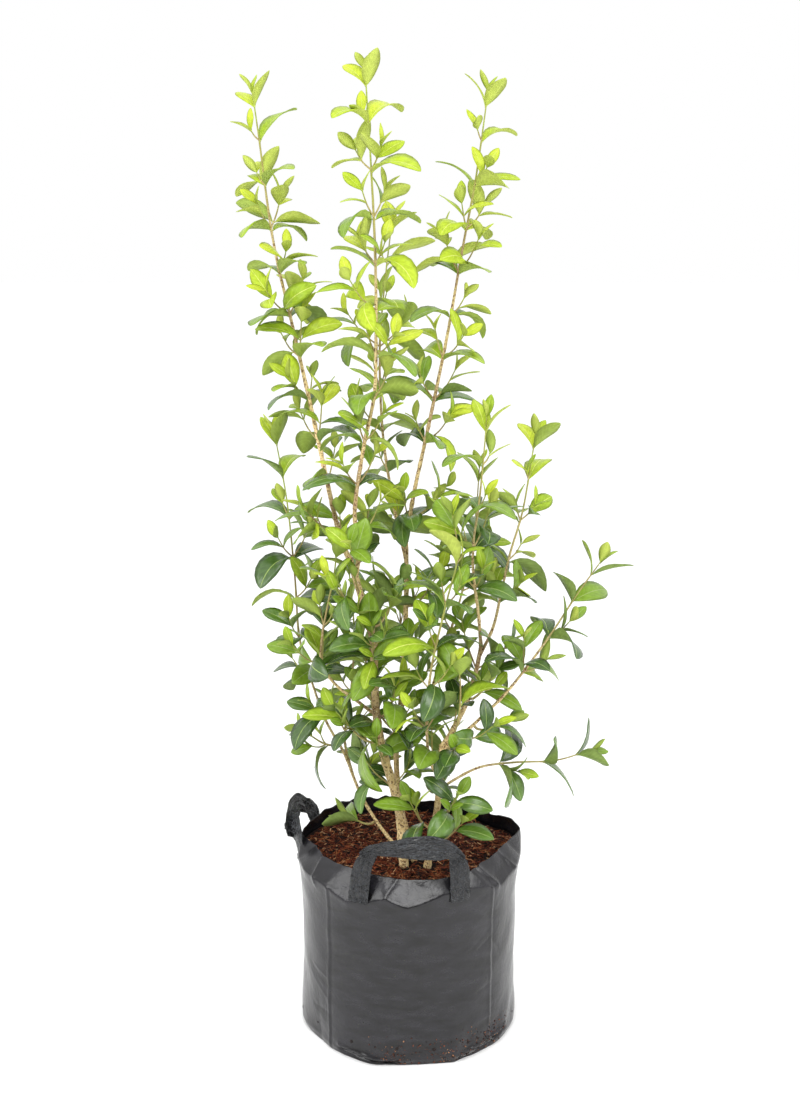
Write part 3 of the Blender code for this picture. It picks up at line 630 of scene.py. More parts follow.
# %% Leaf surface
LEAF_ALONG = np.array([0.0, 0.05, 0.10, 0.19, 0.31, 0.44, 0.57, 0.70, 0.82, 0.92, 0.975])
LEAF_ACROSS = np.array([-1.0, -0.52, -0.04, 0.04, 0.52, 1.0, 0.0])
LEAF_WIDTH = 0.48
STALK_SHARE = 0.05
STALK_HALF_WIDTH = 0.0008
BLADE_THICKNESS = 0.0005
RIB_THICKNESS = 0.0013
TIP_STEP = 0.022


def leaf_outline(along):
    """Half width from 0 to 1: t to the power 0.82 times (1 - t) to the power 0.79, t past the stalk."""
    t = np.clip((along - STALK_SHARE) / (1 - STALK_SHARE), 0, 1)
    peak = 0.82 / (0.82 + 0.79)
    return t ** 0.82 * (1 - t) ** 0.79 / (peak ** 0.82 * (1 - peak) ** 0.79)


def leaf_surface(leaves, rng):
    """Points of all leaves: an array of leaf, point, and x, y, z, row by row with the tip last.

    The rib is an arc that turns by the bend. At each row the blade rises to both sides of the rib by
    the fold, less a curl that grows with the square of the distance from the rib, and its edge ripples
    as a sine along the leaf. The last column is the underside of the rib, which closes the ring. The
    tip is one short step on from the middle of the last row.
    """
    count = len(leaves)
    root, forward, upper, length, bend = (
        np.array([getattr(leaf, part) for leaf in leaves]).reshape(count, 1, 1, -1)
        for part in ("root", "forward", "upper", "length", "bend"))
    u = LEAF_ALONG[None, :, None, None]
    v = LEAF_ACROSS[None, None, :, None]

    def one(low, high):
        """A random number for each leaf."""
        return rng.uniform(low, high, (count, 1, 1, 1))

    width = LEAF_WIDTH * one(0.86, 1.14)
    fold = np.radians(one(14, 40)) * np.clip(1.15 - u, 0.45, 1)
    curl, twist = one(0.04, 0.20), np.radians(one(-22, 22)) * u
    ripple = one(0.01, 0.035) * np.sin(u * one(9, 15) + one(0, 6.28)) * v ** 2
    across = np.cross(upper, forward)
    angle = bend * u / 2
    chord = forward * np.cos(angle) - upper * np.sin(angle)
    rib = root + chord * length * u * np.sinc(angle / np.pi)
    crown = upper * np.cos(bend * u) + forward * np.sin(bend * u)
    side = across * np.cos(twist) + crown * np.sin(twist)
    crown = crown * np.cos(twist) - across * np.sin(twist)
    outline = leaf_outline(u)
    half = np.maximum(length * width / 2 * outline, STALK_HALF_WIDTH)
    lift = half * np.abs(v) * np.sin(fold) - half * v ** 2 * curl + length * 0.4 * ripple * outline * width
    thick = np.where(np.abs(v) < 0.9, BLADE_THICKNESS, 0) + 0 * u
    thick[:, :, -1] = -RIB_THICKNESS * (1.1 - 0.7 * u[:, :, 0])
    surface = rib + side * half * v * np.cos(fold) + crown * (lift + thick)
    last, before = surface[:, -1].mean(1), surface[:, -2].mean(1)
    tips = last + unit(last - before) * length[:, 0, 0] * TIP_STEP
    return np.concatenate([surface.reshape(count, -1, 3), tips[:, None]], 1)


shape_rng = np.random.default_rng(SEED)
leaf_points = leaf_surface(plant.leaves, shape_rng)
print("leaves, points on each:", leaf_points.shape[:2])

# %% [markdown]
# ## Leaf colours
#
# New leaves at the tips are yellow green, fresh ones lime, and old ones inside the shrub deep green.
# One material with a colour that varies by place would do for a single leaf, but hundreds of leaves
# in one mesh need it dealt out leaf by leaf. So there is a plain colour for each age, and every leaf
# picks its own by its distance from a tip and its height.

# %% Leaf materials
# A leathery leaf has a thin wax layer: its gloss is moderate, at the refractive index of plant wax.
# Each face has its colours from old to new. Old leaves are glossier than new ones.
Face = namedtuple("Face", "name codes roughness mottle wax")
TOP = Face("waxy_leaf_top", ("#3B5820", "#527226", "#73912A", "#90AA2E", "#A3B833", "#B5C43C"),
           0.27, 0.14, (0.80, 0.65, 0.40, 0.20, 0.14, 0.14))
RIB = Face("leaf_rib", ("#8A9F58", "#C0CB66"), 0.45, 0.06, (0.2, 0.2))
UNDER = Face("matt_leaf_underside", ("#7A8F4A", "#94A84C", "#AEBC56"), 0.62, 0.10, (0.14, 0.14, 0.14))
WAX_IOR = 1.45
# The blade is mottled at about 8 mm, and bulges softly at 8 mm between its side veins.
MOTTLE_PER_METRE = 120
GRAIN_PER_METRE = 130
VEIN_PAIRS = 8
VEIN_SLANT = 0.28


def leaf_material(name, code, roughness, mottle, wax):
    """A waxy leaf face: darker and lighter in soft patches, with fine relief and pale side veins.

    A vein runs where the share along the blade, less the slant times the share across it, is a whole
    number of vein steps. It fades towards the edge.
    """
    paint = Paint(name)
    blade = paint.ramp(paint.noise(MOTTLE_PER_METRE, 3), (0.32, code, 1 - mottle), (0.68, code, 1 + mottle))
    along, across = paint.attribute("along"), paint.attribute("across")
    slanted = paint.math("MULTIPLY_ADD", across, -VEIN_SLANT, along)
    from_vein = paint.math("PINGPONG", paint.math("MULTIPLY", slanted, VEIN_PAIRS), 0.5)
    veins = paint.math("MULTIPLY", paint.spread(from_vein, 0.18, 0), paint.spread(across, 1, 0.5))
    veined = paint.mix(paint.math("MULTIPLY", veins, 0.30), blade, linear(code, 1.5, 0.02))
    height = paint.math("MULTIPLY_ADD", veins, -0.3, paint.noise(GRAIN_PER_METRE, 0))
    return paint.finish(veined, roughness, paint.bump(height, 0.35, 0.0007), WAX_IOR, wax)


leaf_materials = [leaf_material(f"{face.name}_{age}", code, face.roughness, face.mottle, wax)
                  for face in (TOP, RIB, UNDER)
                  for age, (code, wax) in enumerate(zip(face.codes, face.wax))]
print("leaf materials:", len(leaf_materials))

# %% Deal the colours out and build the leaves
TOP_OF_SHRUB = 1.50
YOUTH_FADES = (0.16, 0.055, 0.045, 0.04)
RIB_STRIP = 2
UNDER_STRIPS = 5


def leaf_ages(leaves, rng):
    """A colour number per leaf: old and deep at 0, up to new and yellow green at 5.

    It grows with nearness to the shoot's tip, as e to the power minus the distance over a fade length,
    and with height, plus a little chance.
    """
    youth = np.array([math.exp(-leaf.below / YOUTH_FADES[min(leaf.order, 3)]) for leaf in leaves])
    height = np.array([leaf.root.z for leaf in leaves]) / TOP_OF_SHRUB
    score = 0.50 * youth + 0.62 * smooth_step(0.27, 1.0, height) + rng.normal(-0.03, 0.17, len(leaves))
    return np.digitize(score, (0.16, 0.34, 0.52, 0.69, 0.90))


ages = leaf_ages(plant.leaves, shape_rng)
rows, columns = len(LEAF_ALONG), len(LEAF_ACROSS)
quads, ends = tube_faces(rows, columns, turned=True)
ring = np.arange(columns) + (rows - 1) * columns
tip = np.stack([np.roll(ring, -1), ring, np.full(columns, rows * columns)], -1)
# Each face is top, rib or underside: 0, 1 or 2. The stalk is all rib.
strip = np.tile(np.arange(columns), rows)
kinds = np.where(strip == RIB_STRIP, 1, np.where(strip < UNDER_STRIPS, 0, 2))
kinds[:columns] = 1
first_rib = len(TOP.codes)
first_under = first_rib + len(RIB.codes)
finishes = np.stack([ages, first_rib + (ages > 2), first_under + np.digitize(ages, (2, 4))], -1)
index = [finishes[:, kinds[:-columns]].ravel(), finishes[:, kinds[-columns:]].ravel(), finishes[:, 1]]
count, size = leaf_points.shape[:2]
faces = [copies(part, count, size) for part in (quads, tip, ends[:1])]
leaves_piece = make_piece("leaves_0", leaf_points, faces, leaf_materials, np.concatenate(index))
mark(leaves_piece, "along", np.tile(np.append(np.repeat(LEAF_ALONG, columns), 1.0), count))
mark(leaves_piece, "across", np.tile(np.append(np.tile(np.abs(LEAF_ACROSS), rows), 0.0), count))
masses = [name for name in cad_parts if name.endswith("_foliage") or "_shoot_" in name]
settle(leaves_piece, "leaf", *masses)
print("leaves of each age:", np.bincount(ages).tolist())

# %% [markdown]
# ## Stems, boughs and twigs
#
# The bark is thin and brown, dotted with pale pores, and swollen a little at every old leaf node. A
# bevelled curve would give a smooth pipe, so each limb is a tube worked out ring by ring as one array:
# its radius is the taper, plus swellings at the nodes, a collar at the fork and a low relief. Green
# shoots use the same tube with fewer sides.

# %% Tubes
def carried_frame(points):
    """Two sideways directions at each point of a line, square to it and to each other.

    Both come from the axis that the line follows least, so that the rings don't spin.
    """
    along = unit(np.gradient(points, axis=0))
    axis = np.eye(3)[np.argmin(np.abs(along).max(0))]
    side = unit(axis - along * (along @ axis)[:, None])
    return side[:, None], np.cross(along, side)[:, None]


def tube_surface(points, radii, sides):
    """Ring i, side j: point i plus its radius times (cosine of the angle along one sideways direction
    plus sine along the other)."""
    side, other = carried_frame(points)
    angle = np.linspace(0, 2 * math.pi, sides, endpoint=False)[None, :, None]
    return points[:, None] + radii[..., None] * (np.cos(angle) * side + np.sin(angle) * other)


def join_tubes(name, surfaces, finish, turned=False, **marks):
    """One object from many tubes, each an array of ring, side and x, y, z, and marks for its points."""
    faces = []
    start = 0
    for surface in surfaces:
        rings, sides = surface.shape[:2]
        faces += tube_faces(rings, sides, start, turned)
        start += rings * sides
    points = np.concatenate([surface.reshape(-1, 3) for surface in surfaces])
    piece = make_piece(name, points, faces, [finish])
    for key, values in marks.items():
        mark(piece, key, np.concatenate([value.ravel() for value in values]))
    return piece


upright = np.array([(0, 0, 0), (0, 0, 1)])
print("sideways directions of an upright line:", [way[0, 0].tolist() for way in carried_frame(upright)])

# %% Bark material
# Thin smooth bark: pale raised pores about 1.5 mm across, 4 mm apart, and brown flecks between them.
PORES_PER_METRE = 250
FLECKS_PER_METRE = 300
STREAKS_PER_METRE = 330
# The last stop is the old bark's pale tan, lightened further as painted light for the shade that the leaves
# cast over the thick stems low down.
BARK_AGES = ((0.0, "#A0B44C"), (0.18, "#ACA860"), (0.45, "#CDBD88"), (1.0, "#F6DCA6"))
# It has weathered darker in places a hand or so apart.
WEATHER_PER_METRE = 9

paint = Paint("thin_porous_bark")
age = paint.attribute("age")
wood = paint.ramp(age, *BARK_AGES)
long_grain = paint.add("Mapping", {"Scale": (1, 1, 0.35), "Vector": paint.place})
streaks = paint.noise(STREAKS_PER_METRE, 4, place=long_grain)
shades = paint.ramp(streaks, (0.3, "#C8B896"), (0.7, "#FFFFFF"))
streaked = paint.mix(0.8, wood, shades, blend_type="MULTIPLY")
worn = paint.spread(paint.noise(WEATHER_PER_METRE, 1), 0.50, 0.68, 0, 0.60)
weathered = paint.mix(worn, streaked, linear("#8A6C50"))
pores = paint.add("TexVoronoi", {"Scale": PORES_PER_METRE, "Vector": paint.place})
pore_sizes = paint.math("MULTIPLY_ADD", pores.node.outputs["Color"], 0.24, pores)
old_enough = paint.spread(age, 0.20, 0.5)
pore_mask = paint.math("MULTIPLY", paint.spread(pore_sizes, 0.36, 0.24, 0, 0.8), old_enough)
pored = paint.mix(pore_mask, weathered, linear("#EADBBE"))
flecks = paint.spread(paint.noise(FLECKS_PER_METRE, 3, 0.6), 0.53, 0.60, 0, 0.95)
flecked = paint.mix(paint.math("MULTIPLY", flecks, old_enough), pored, linear("#6E4A2E"))
height = paint.math("ADD", paint.math("MULTIPLY", pore_mask, 1.2), streaks)
bark = paint.finish(flecked, 0.72, paint.bump(height, 0.6, 0.0006))
print("bark nodes:", len(paint.tree.nodes))

# %% Limbs
RING_STEP = 0.0035
SLIMMING = 0.66
NODE_SPACING = 0.062
NODE_SWELL = 0.16
NODE_HALF_LENGTH = 0.0035
FIRST_NODE = 0.074
NO_NODES_WITHIN = 0.05
COLLAR_SWELL = 0.30
FOOT_SWELL = 0.08
COLLAR_LENGTH = 0.009
RELIEF_DEPTH = 0.00045


def limb_tube(limb, rng):
    """A limb from its fork to its tip, and the age of its bark.

    Its radius is the taper, times 1 plus a bell at each node, plus a collar that fades from the foot
    as e to the power minus the distance over its length, plus a relief of folds and waves.
    """
    path = paths[limb.name]
    stations = np.linspace(0, path.length, max(12, int(path.length / RING_STEP)))
    line = np.stack([np.interp(stations, path.ends, column) for column in np.array(path.points).T], -1)
    soft = np.array([1, 2, 3, 2, 1]) / 9
    padded = np.pad(line, ((2, 2), (0, 0)), mode="edge")
    line[2:-2] = np.stack([np.convolve(column, soft, "valid") for column in padded.T], -1)[2:-2]
    taper = radius_at(limb, stations)
    below = path.length - stations
    off_node = np.abs((below - FIRST_NODE + NODE_SPACING / 2) % NODE_SPACING - NODE_SPACING / 2)
    nodes = np.where(below < NO_NODES_WITHIN, 0, 1) * NODE_SWELL
    collar = (COLLAR_SWELL if limb.carrier else FOOT_SWELL) * np.exp(-stations / COLLAR_LENGTH)
    radius = SLIMMING * taper * (1 + nodes * np.exp(-(off_node / NODE_HALF_LENGTH) ** 2) + collar)
    sides = 20 if limb.foot > 0.006 else 12
    plain = tube_surface(line, np.repeat(radius[:, None], sides, 1), sides)
    depth = np.minimum(RELIEF_DEPTH, taper * 0.07)[:, None]
    rough = depth * (0.6 * folds(plain * (1, 1, 0.35), rng, 0.006) + 0.7 * swell(plain, rng, 0.016))
    age = smooth_step(0.0014, 0.0046, taper) + 0.10 * rng.uniform(-1, 1)
    return tube_surface(line, radius[:, None] + rough, sides), np.repeat(age, sides)


bark_rng = np.random.default_rng(SEED)
surfaces, bark_ages = zip(*[limb_tube(limb, bark_rng) for limb in LIMBS])
limb_piece = join_tubes("stems_and_boughs", surfaces, bark, age=bark_ages)
settle(limb_piece, "bark", *[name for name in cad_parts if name.endswith(("_stem", "_bough"))])

# %% Twigs
TWIG_RINGS = 9
TWIG_SIDES = 7


def twig_tube(twig):
    """A green shoot: a smoothed line through its points, tapering evenly from foot to tip."""
    path = Path(twig.points)
    line = np.array([path.at(distance)[0] for distance in np.linspace(0, path.length, TWIG_RINGS)])
    share = np.linspace(0, 1, TWIG_RINGS)
    radius = twig.foot + (twig.tip - twig.foot) * share
    age = (0.42 if twig.order == 1 else 0.25) * (1 - share)
    surface = tube_surface(line, np.repeat(radius[:, None], TWIG_SIDES, 1), TWIG_SIDES)
    return surface, np.repeat(age, TWIG_SIDES)


surfaces, twig_ages = zip(*[twig_tube(twig) for twig in plant.twigs])
settle(join_tubes("green_twigs", surfaces, bark, age=twig_ages), "bark")

# %% [markdown]
# ## The film bag
#
# The bag is blown black polythene film, welded flat and opened out. The damp fill holds its body
# round, it folds over in a soft crease just under the fill's surface, and the loose film above is
# crumpled into flat facets. Cloth simulation could crumple it, but formulas give the same crease in
# the same place on each run: a plan of radii, hat functions up the height, and folds on top.

# %% The bag's plan
ANGLES = 480
ROW_STEP = 0.002
FILM_THICKNESS = 0.0012
# Radii of the foot at some angles round the bag, in degrees.
FOOT_ANGLES = (-172, -147, -126, -107, -95, -79, -66, -58, -44, -30, -18, -4, 8, 24, 38, 84, 110, 124, 150)
FOOT_RADII = (0.170, 0.162, 0.169, 0.173, 0.166, 0.165, 0.172, 0.166, 0.166, 0.167, 0.166, 0.169, 0.170,
              0.170, 0.166, 0.166, 0.168, 0.168, 0.170)
# The body swells a little over its height.
BODY_SWELL = ((0, 0.010, 0.110, 0.235), (0, 0.004, 0, 0.0012))
BODY_RADIUS = 0.1700
BULGE_FROM = 0.215
# The loose film above the fill is folded along straight lines between the corners of the crease and the
# corners of the rim. Each row gives a crease corner and the next rim corner: degrees, and the radius
# and height in millimetres.
CREASE, RIM = 0, 1
DEGREES, RADIUS, HEIGHT = 0, 1, 2
NECK = np.array([
    ((-172, 178, 281), (-168, 150, 305)), ((-147, 176, 278), (-144, 150, 304)),
    ((-137, 176, 274), (-119, 150, 305.5)), ((-123, 178, 261), (-112, 153, 304)),
    ((-111, 176, 268), (-106, 153, 303)), ((-103, 176, 277), (-92, 153, 300)),
    ((-91, 180, 263), (-90, 154, 300)), ((-73, 174, 281), (-70, 157, 300)),
    ((-58, 173, 283), (-55, 161, 304)), ((-42, 174, 271), (-46, 153, 306)),
    ((-35, 172, 266), (-20, 149, 307)), ((-24, 172, 273), (-8, 157, 308)),
    ((-3, 179, 281), (10, 183, 310)), ((14, 181, 272), (22, 182, 312)),
    ((30, 176, 268), (34, 163, 311)), ((48, 172, 270), (52, 168, 310)),
    ((68, 171, 274), (83, 160, 308)), ((92, 174, 268), (103, 172, 311)),
    ((112, 174, 275), (122, 180, 313)), ((130, 175, 270), (138, 176, 312)),
    ((146, 177, 277), (152, 172, 310)), ((164, 178, 279), (176, 173, 308))]) / (1, 1000, 1000)


def corner_value(end, field, degrees):
    """A corner's radius or height at each angle, straight from one corner to the next."""
    return np.interp(degrees, NECK[:, end, DEGREES], NECK[:, end, field], period=360)


print("corners of the crease and rim:", len(NECK))

# %% The folded film's radius
def neck_radius(degrees, share):
    """The radius of the loose film, at a share from 0 at the crease to 1 at the rim.

    Every crease corner is joined to the rim corners on both sides of it. At each share those fold lines
    cut a ring of points, and the radius runs straight between the two points on either side.
    """
    to_next = np.stack([np.roll(NECK[:, CREASE], -1, 0), NECK[:, RIM]], 1)
    lines = np.stack([NECK, to_next], 1).reshape(-1, 2, 3)
    lines[:, CREASE, DEGREES] = np.unwrap(lines[:, CREASE, DEGREES], period=360)
    lines = np.concatenate([lines + (turn, 0, 0) for turn in (-360, 0, 360)])
    at, radii = (lines[:, CREASE, field, None] * (1 - share) + lines[:, RIM, field, None] * share
                 for field in (DEGREES, RADIUS))
    after = np.clip((at <= degrees).sum(0), 1, len(at) - 1)
    column = np.arange(len(degrees))
    start, end = at[after - 1, column], at[after, column]
    t = (degrees - start) / np.maximum(end - start, 1e-6)
    return radii[after - 1, column] * (1 - t) + radii[after, column] * t


def sharp_radius(degrees, heights):
    """The film's radius with sharp folds: foot, body, bulge to the crease, and the folded neck."""
    foot = np.interp(degrees, FOOT_ANGLES, FOOT_RADII, period=360)
    crease_height = corner_value(CREASE, HEIGHT, degrees)
    firm = np.interp(heights, (0.010, 0.110), (0, 1))
    radius = foot * (1 - firm) + BODY_RADIUS * firm + np.interp(heights, *BODY_SWELL)
    bulge = np.clip((heights - BULGE_FROM) / (crease_height - BULGE_FROM), 0, 1) ** 2
    radius = radius * (1 - bulge) + corner_value(CREASE, RADIUS, degrees) * bulge
    share = np.clip((heights - crease_height) / (corner_value(RIM, HEIGHT, degrees) - crease_height), 0, 1)
    return np.where(heights > crease_height, neck_radius(degrees, share), radius)


def film_radius(degrees, heights):
    """The sharp radius averaged over five places 1 degree and 2 mm apart, which rounds its folds."""
    wrapped = (degrees + 180) % 360 - 180
    near = ((0, 0), (0.9, 0), (-0.9, 0), (0, 0.002), (0, -0.002))
    return sum(sharp_radius((wrapped + turn + 180) % 360 - 180, heights + lift)
               for turn, lift in near) / len(near)


print("radius at the front of the foot:", film_radius(np.array([-90.0]), np.array([0.0])))

# %% Creases in the film
METRES_PER_DEGREE = math.radians(1) * 0.171
# A crease is a straight fold from one place to another: degrees and height at both ends, its depth,
# outwards where positive, and its width.
Crease = namedtuple("Crease", "degrees height to_degrees to_height depth width")
GUSSETS = (-137.5, -43.0, 43.0, 137.5)
CREASES = [Crease(degrees, 0.0, degrees + 1.0, 0.272, 0.0016, 0.0035) for degrees in GUSSETS]
CREASES += [Crease(degrees + 1.8, 0.0, degrees + 2.4, 0.270, -0.0010, 0.0035) for degrees in GUSSETS]
# First the welded foot, which is folded under and stands out as a lip over a dark line in three places.
# Then folds that run up the loose film, and a faint line down the front from when the bag lay flat.
CREASES += [Crease(*row) for row in (
    (-129, 0.018, -99, 0.010, 0.0050, 0.0045), (-128, 0.0110, -98, 0.003, -0.0105, 0.0032),
    (-62, 0.011, -28, 0.025, 0.0048, 0.0045), (-62, 0.004, -28, 0.017, -0.0105, 0.0032),
    (62, 0.016, 96, 0.008, 0.0040, 0.0040), (62, 0.010, 96, 0.002, -0.0085, 0.0030),
    (-47, 0.304, -37, 0.271, 0.0045, 0.0038), (-50, 0.302, -41, 0.273, -0.0022, 0.0030),
    (-152, 0.304, -147, 0.270, 0.0030, 0.0032), (-97, 0.300, -104, 0.272, 0.0022, 0.0026),
    (-22, 0.304, -16, 0.276, 0.0026, 0.0032), (-93, 0.030, -93.5, 0.250, 0.0005, 0.0030))]
crease_rng = random.Random(SEED)
for degrees in GUSSETS:
    for _ in range(9):
        height = crease_rng.uniform(0.02, 0.24)
        reach, drop = crease_rng.uniform(4, 17), crease_rng.uniform(-0.035, 0.035)
        reach *= crease_rng.choice((-1, 1))
        CREASES.append(Crease(degrees, height, degrees + reach, height + drop,
                              crease_rng.uniform(-0.0009, 0.0011), crease_rng.uniform(0.002, 0.005)))
for _ in range(46):
    degrees, height = crease_rng.uniform(-180, 180), crease_rng.uniform(0.015, 0.235)
    CREASES.append(Crease(degrees, height, degrees + crease_rng.uniform(-16, 16),
                          height + crease_rng.uniform(-0.012, 0.012),
                          crease_rng.uniform(-0.0005, 0.0006), crease_rng.uniform(0.002, 0.006)))
print("creases:", len(CREASES))


def crease_depth(degrees, heights, crease):
    """How far one crease moves the film: its depth times e to the power minus distance over width."""
    x = ((degrees - crease.degrees + 180) % 360 - 180) * METRES_PER_DEGREE
    z = heights - crease.height
    dx = (crease.to_degrees - crease.degrees) * METRES_PER_DEGREE
    dz = crease.to_height - crease.height
    share = np.clip((x * dx + z * dz) / (dx * dx + dz * dz), 0, 1)
    distance = np.hypot(x - share * dx, z - share * dz)
    return crease.depth * np.exp(-distance / crease.width)


# %% Film surface
def film_points(degrees, heights, inset=0.0):
    """The film's crumpled surface at arrays of angles and heights, moved inwards by the inset.

    To the folded radius come waves and folds of the body, of the neck and of the foot, and all creases.
    """
    shape = heights.shape
    degrees, heights = np.broadcast_to(degrees, shape).ravel(), heights.ravel()
    rng = np.random.default_rng(SEED)
    out = outward(degrees)
    plain = out * film_radius(degrees, heights)[:, None] + heights[:, None] * (0, 0, 1)
    neck = smooth_step(0.255, 0.275, heights)
    foot = 1 - smooth_step(0.0, 0.06, heights)
    depth = (1 - neck) * (0.0011 * swell(plain, rng, 0.10) + 0.0007 * folds(plain, rng, 0.07))
    depth += neck * 0.0007 * folds(plain, rng, 0.034)
    depth += foot * 0.0022 * folds(plain, rng, 0.06)
    depth += sum(crease_depth(degrees, heights, crease) for crease in CREASES)
    depth *= smooth_step(-0.004, 0.004, heights)
    return (plain + out * (depth - inset)[:, None]).reshape(*shape, 3)


degrees = np.linspace(-180, 180, ANGLES, endpoint=False)
top = corner_value(RIM, HEIGHT, degrees)
# The rim is a little torn, most at the back.
torn = 0.0008 + 0.0022 * smooth_step(0.1, 0.7, np.sin(np.radians(degrees)))
top += torn * folds(degrees[:, None] * (1, 0, 0), np.random.default_rng(SEED), 8.0)
base_rows = np.arange(0, 0.300 + ROW_STEP / 2, ROW_STEP)
heights = base_rows[:, None] + (top - base_rows[-1])[None] * smooth_step(0.240, 0.300, base_rows)[:, None]
outer = film_points(degrees, heights)
widest = float(np.hypot(outer[..., 0], outer[..., 1]).max())
print("bag rows and angles:", outer.shape[:2], "widest:", widest)

# %% Close the bag
INNER_ROWS = 18
FILL_LEVEL = 0.270
share = np.linspace(0, 1, INNER_ROWS)[:, None]
inner = film_points(degrees, top * (1 - share) + FILL_LEVEL * share, FILM_THICKNESS)
lip = (outer[-1] + inner[0]) / 2 + (0, 0, FILM_THICKNESS / 2)
underside = outer[0][None] * np.linspace(0.05, 0.97, 12)[:, None, None] * (1, 1, 0)
floor_inside = inner[-1][None] * np.linspace(0.9, 0.05, 6)[:, None, None] * (1, 1, 0) + (0, 0, FILL_LEVEL)
shell = np.concatenate([underside, outer, lip[None], inner, floor_inside])
print("rings of the closed bag:", len(shell))

# %% Film material
# Blown polythene film: satin, because its surface is smooth but finely crinkled. Carbon black fills it,
# so its own colour is nearly black and most of what is seen is gloss, at the index of polythene.
POLYTHENE_IOR = 1.51
paint = Paint("black_polythene_film")
# Faint scuffs run round the bag, about 40 mm long and 12 mm high.
round_bag = paint.add("Mapping", {"Scale": (1, 1, 3.2), "Vector": paint.place})
dust = paint.noise(24, 5, 0.6, place=round_bag)
tones = paint.ramp(dust, (0.34, "#0A090A"), (0.70, "#232227"))
gloss = paint.spread(dust, 0, 1, 0.18, 0.27)
# Crinkles about 12 mm and 3 mm apart.
crinkles = paint.noise(85, 5, 0.6, 1.2)
height = paint.math("MULTIPLY_ADD", paint.noise(330), 0.05, crinkles)
film = paint.finish(tones, gloss, paint.bump(height, 0.5, 0.0012), POLYTHENE_IOR, 0.43)
settle(join_tubes("film_bag", [shell], film), "black_film", "planter_bag")

# %% Drain holes
# Holes 6 mm across are punched round the foot, and the damp fill shows dark in each. A lens of dark fill,
# hardly proud of the film, gives that without cutting the shell: the fill's own dark brown, darkened
# further as painted shade inside the hole.
# Each row gives a hole's angle in degrees and its height in millimetres.
HOLES = np.array([
    (-96.5, 29.5), (-76.8, 26), (-57.7, 26), (-46.8, 21), (-37.8, 30), (-96.5, 9), (-67, 12),
    (-14, 26), (8, 28), (30, 25), (52, 30), (75, 27), (98, 24), (121, 29), (144, 26), (166, 28),
    (-172, 25), (-150, 29), (-121, 30)]) / (1, 1000)
# Rings of the lens from its middle in front, over its edge, to its middle behind: radius and outwards.
HOLE_RINGS = np.array([(0.0002, 0.00055), (0.0018, 0.00050), (0.0028, 0.00005), (0.0018, -0.0010),
                       (0.0002, -0.0010)])
HOLE_SIDES = 16


def on_the_film(places, offsets):
    """Points near places on the film: each place plus its offsets across, up and outwards."""
    out = outward(places[:, 0])[:, None]
    across = np.cross((0, 0, 1), out)
    return (film_points(*places.T)[:, None] + (out * offsets[..., 2:] + across * offsets[..., :1]
                                               + np.array((0, 0, 1)) * offsets[..., 1:2]))


hole_rng = np.random.default_rng(SEED + 2)
angle = np.linspace(0, 2 * math.pi, HOLE_SIDES, endpoint=False)
radius = HOLE_RINGS[:, :1] * hole_rng.uniform(0.6, 1.15, (len(HOLES), 1, 1))
lens = np.stack(np.broadcast_arrays(radius * np.cos(angle), radius * np.sin(angle), HOLE_RINGS[:, 1:]), -1)
lens = lens.reshape(len(HOLES), -1, 3)
# Very dark fill: the damp fill's own brown, darkened further as painted shade inside the hole.
fill_with_painted_hole_shade = speckled("damp_fill_with_painted_hole_shade", 900, 3, 0.9, (0.40, "#0A0605"), (0.75, "#2A150E"))
faces = [copies(part, *lens.shape[:2]) for part in tube_faces(len(HOLE_RINGS), HOLE_SIDES, turned=True)]
holes_piece = make_piece("drain_holes", on_the_film(HOLES, lens), faces, [fill_with_painted_hole_shade])
settle(holes_piece, "black_film")

# %% Crumbs of soil
# Water carries fill out of the holes in front, and it dries on the film as red-brown crumbs of 0.5 to
# 3 mm. Each is an octahedron with its corners moved at random, in dry soil: matt, with fine grains.
CRUMBS = 900
CRUMB_COLOURS = ("#42200F", "#6A3A26", "#9A6C4C", "#1E0F0A")
CRUMB_SHARES = (0.40, 0.26, 0.12, 0.22)
FRONT_HOLES = 7
CORNERS = np.array([(1, 0, 0), (0, 1, 0), (-1, 0, 0), (0, -1, 0), (0, 0, 1), (0, 0, -1)])
SIDES = np.array([(0, 1, 4), (1, 2, 4), (2, 3, 4), (3, 0, 4), (1, 0, 5), (2, 1, 5), (3, 2, 5), (0, 3, 5)])

places = HOLES[hole_rng.integers(0, FRONT_HOLES, CRUMBS)]
places[:, 0] += hole_rng.normal(0, 7.0, CRUMBS)
places[:, 1] = np.clip(places[:, 1] + hole_rng.normal(-0.003, 0.012, CRUMBS), 0.003, 0.07)
sizes = 0.00035 + 0.0013 * hole_rng.uniform(0, 1, (CRUMBS, 1)) ** 4
shapes = CORNERS * hole_rng.uniform(0.6, 1.3, (CRUMBS, len(CORNERS), 1))
shapes += hole_rng.uniform(-0.45, 0.45, shapes.shape)
shapes *= sizes[..., None]
shapes[..., 2] += 0.3 * sizes
kinds = hole_rng.choice(len(CRUMB_COLOURS), CRUMBS, p=CRUMB_SHARES)
crumb_finishes = [speckled(f"soil_crumb_{kind}", 1500, 2, 0.88, (0.3, code, 0.7), (0.7, code, 1.3))
                  for kind, code in enumerate(CRUMB_COLOURS)]
faces = [copies(SIDES, CRUMBS, len(CORNERS))]
crumbs_piece = make_piece("soil_crumbs", on_the_film(places, shapes), faces, crumb_finishes,
                          np.repeat(kinds, len(SIDES)), smooth=False)
settle(crumbs_piece, "black_film")

# %% [markdown]
# ## The strap handles
#
# Each handle is a flat ribbon of folded film about 33 mm wide. Its legs are welded to the outside of
# the bag, and its band lies over the tops of the legs, where it is gathered and folded over. One swept
# strip can't overlap itself like that. So a handle is three strips, two legs and a band, each drawn by
# a few knots on the unrolled bag, and then wrapped round it.

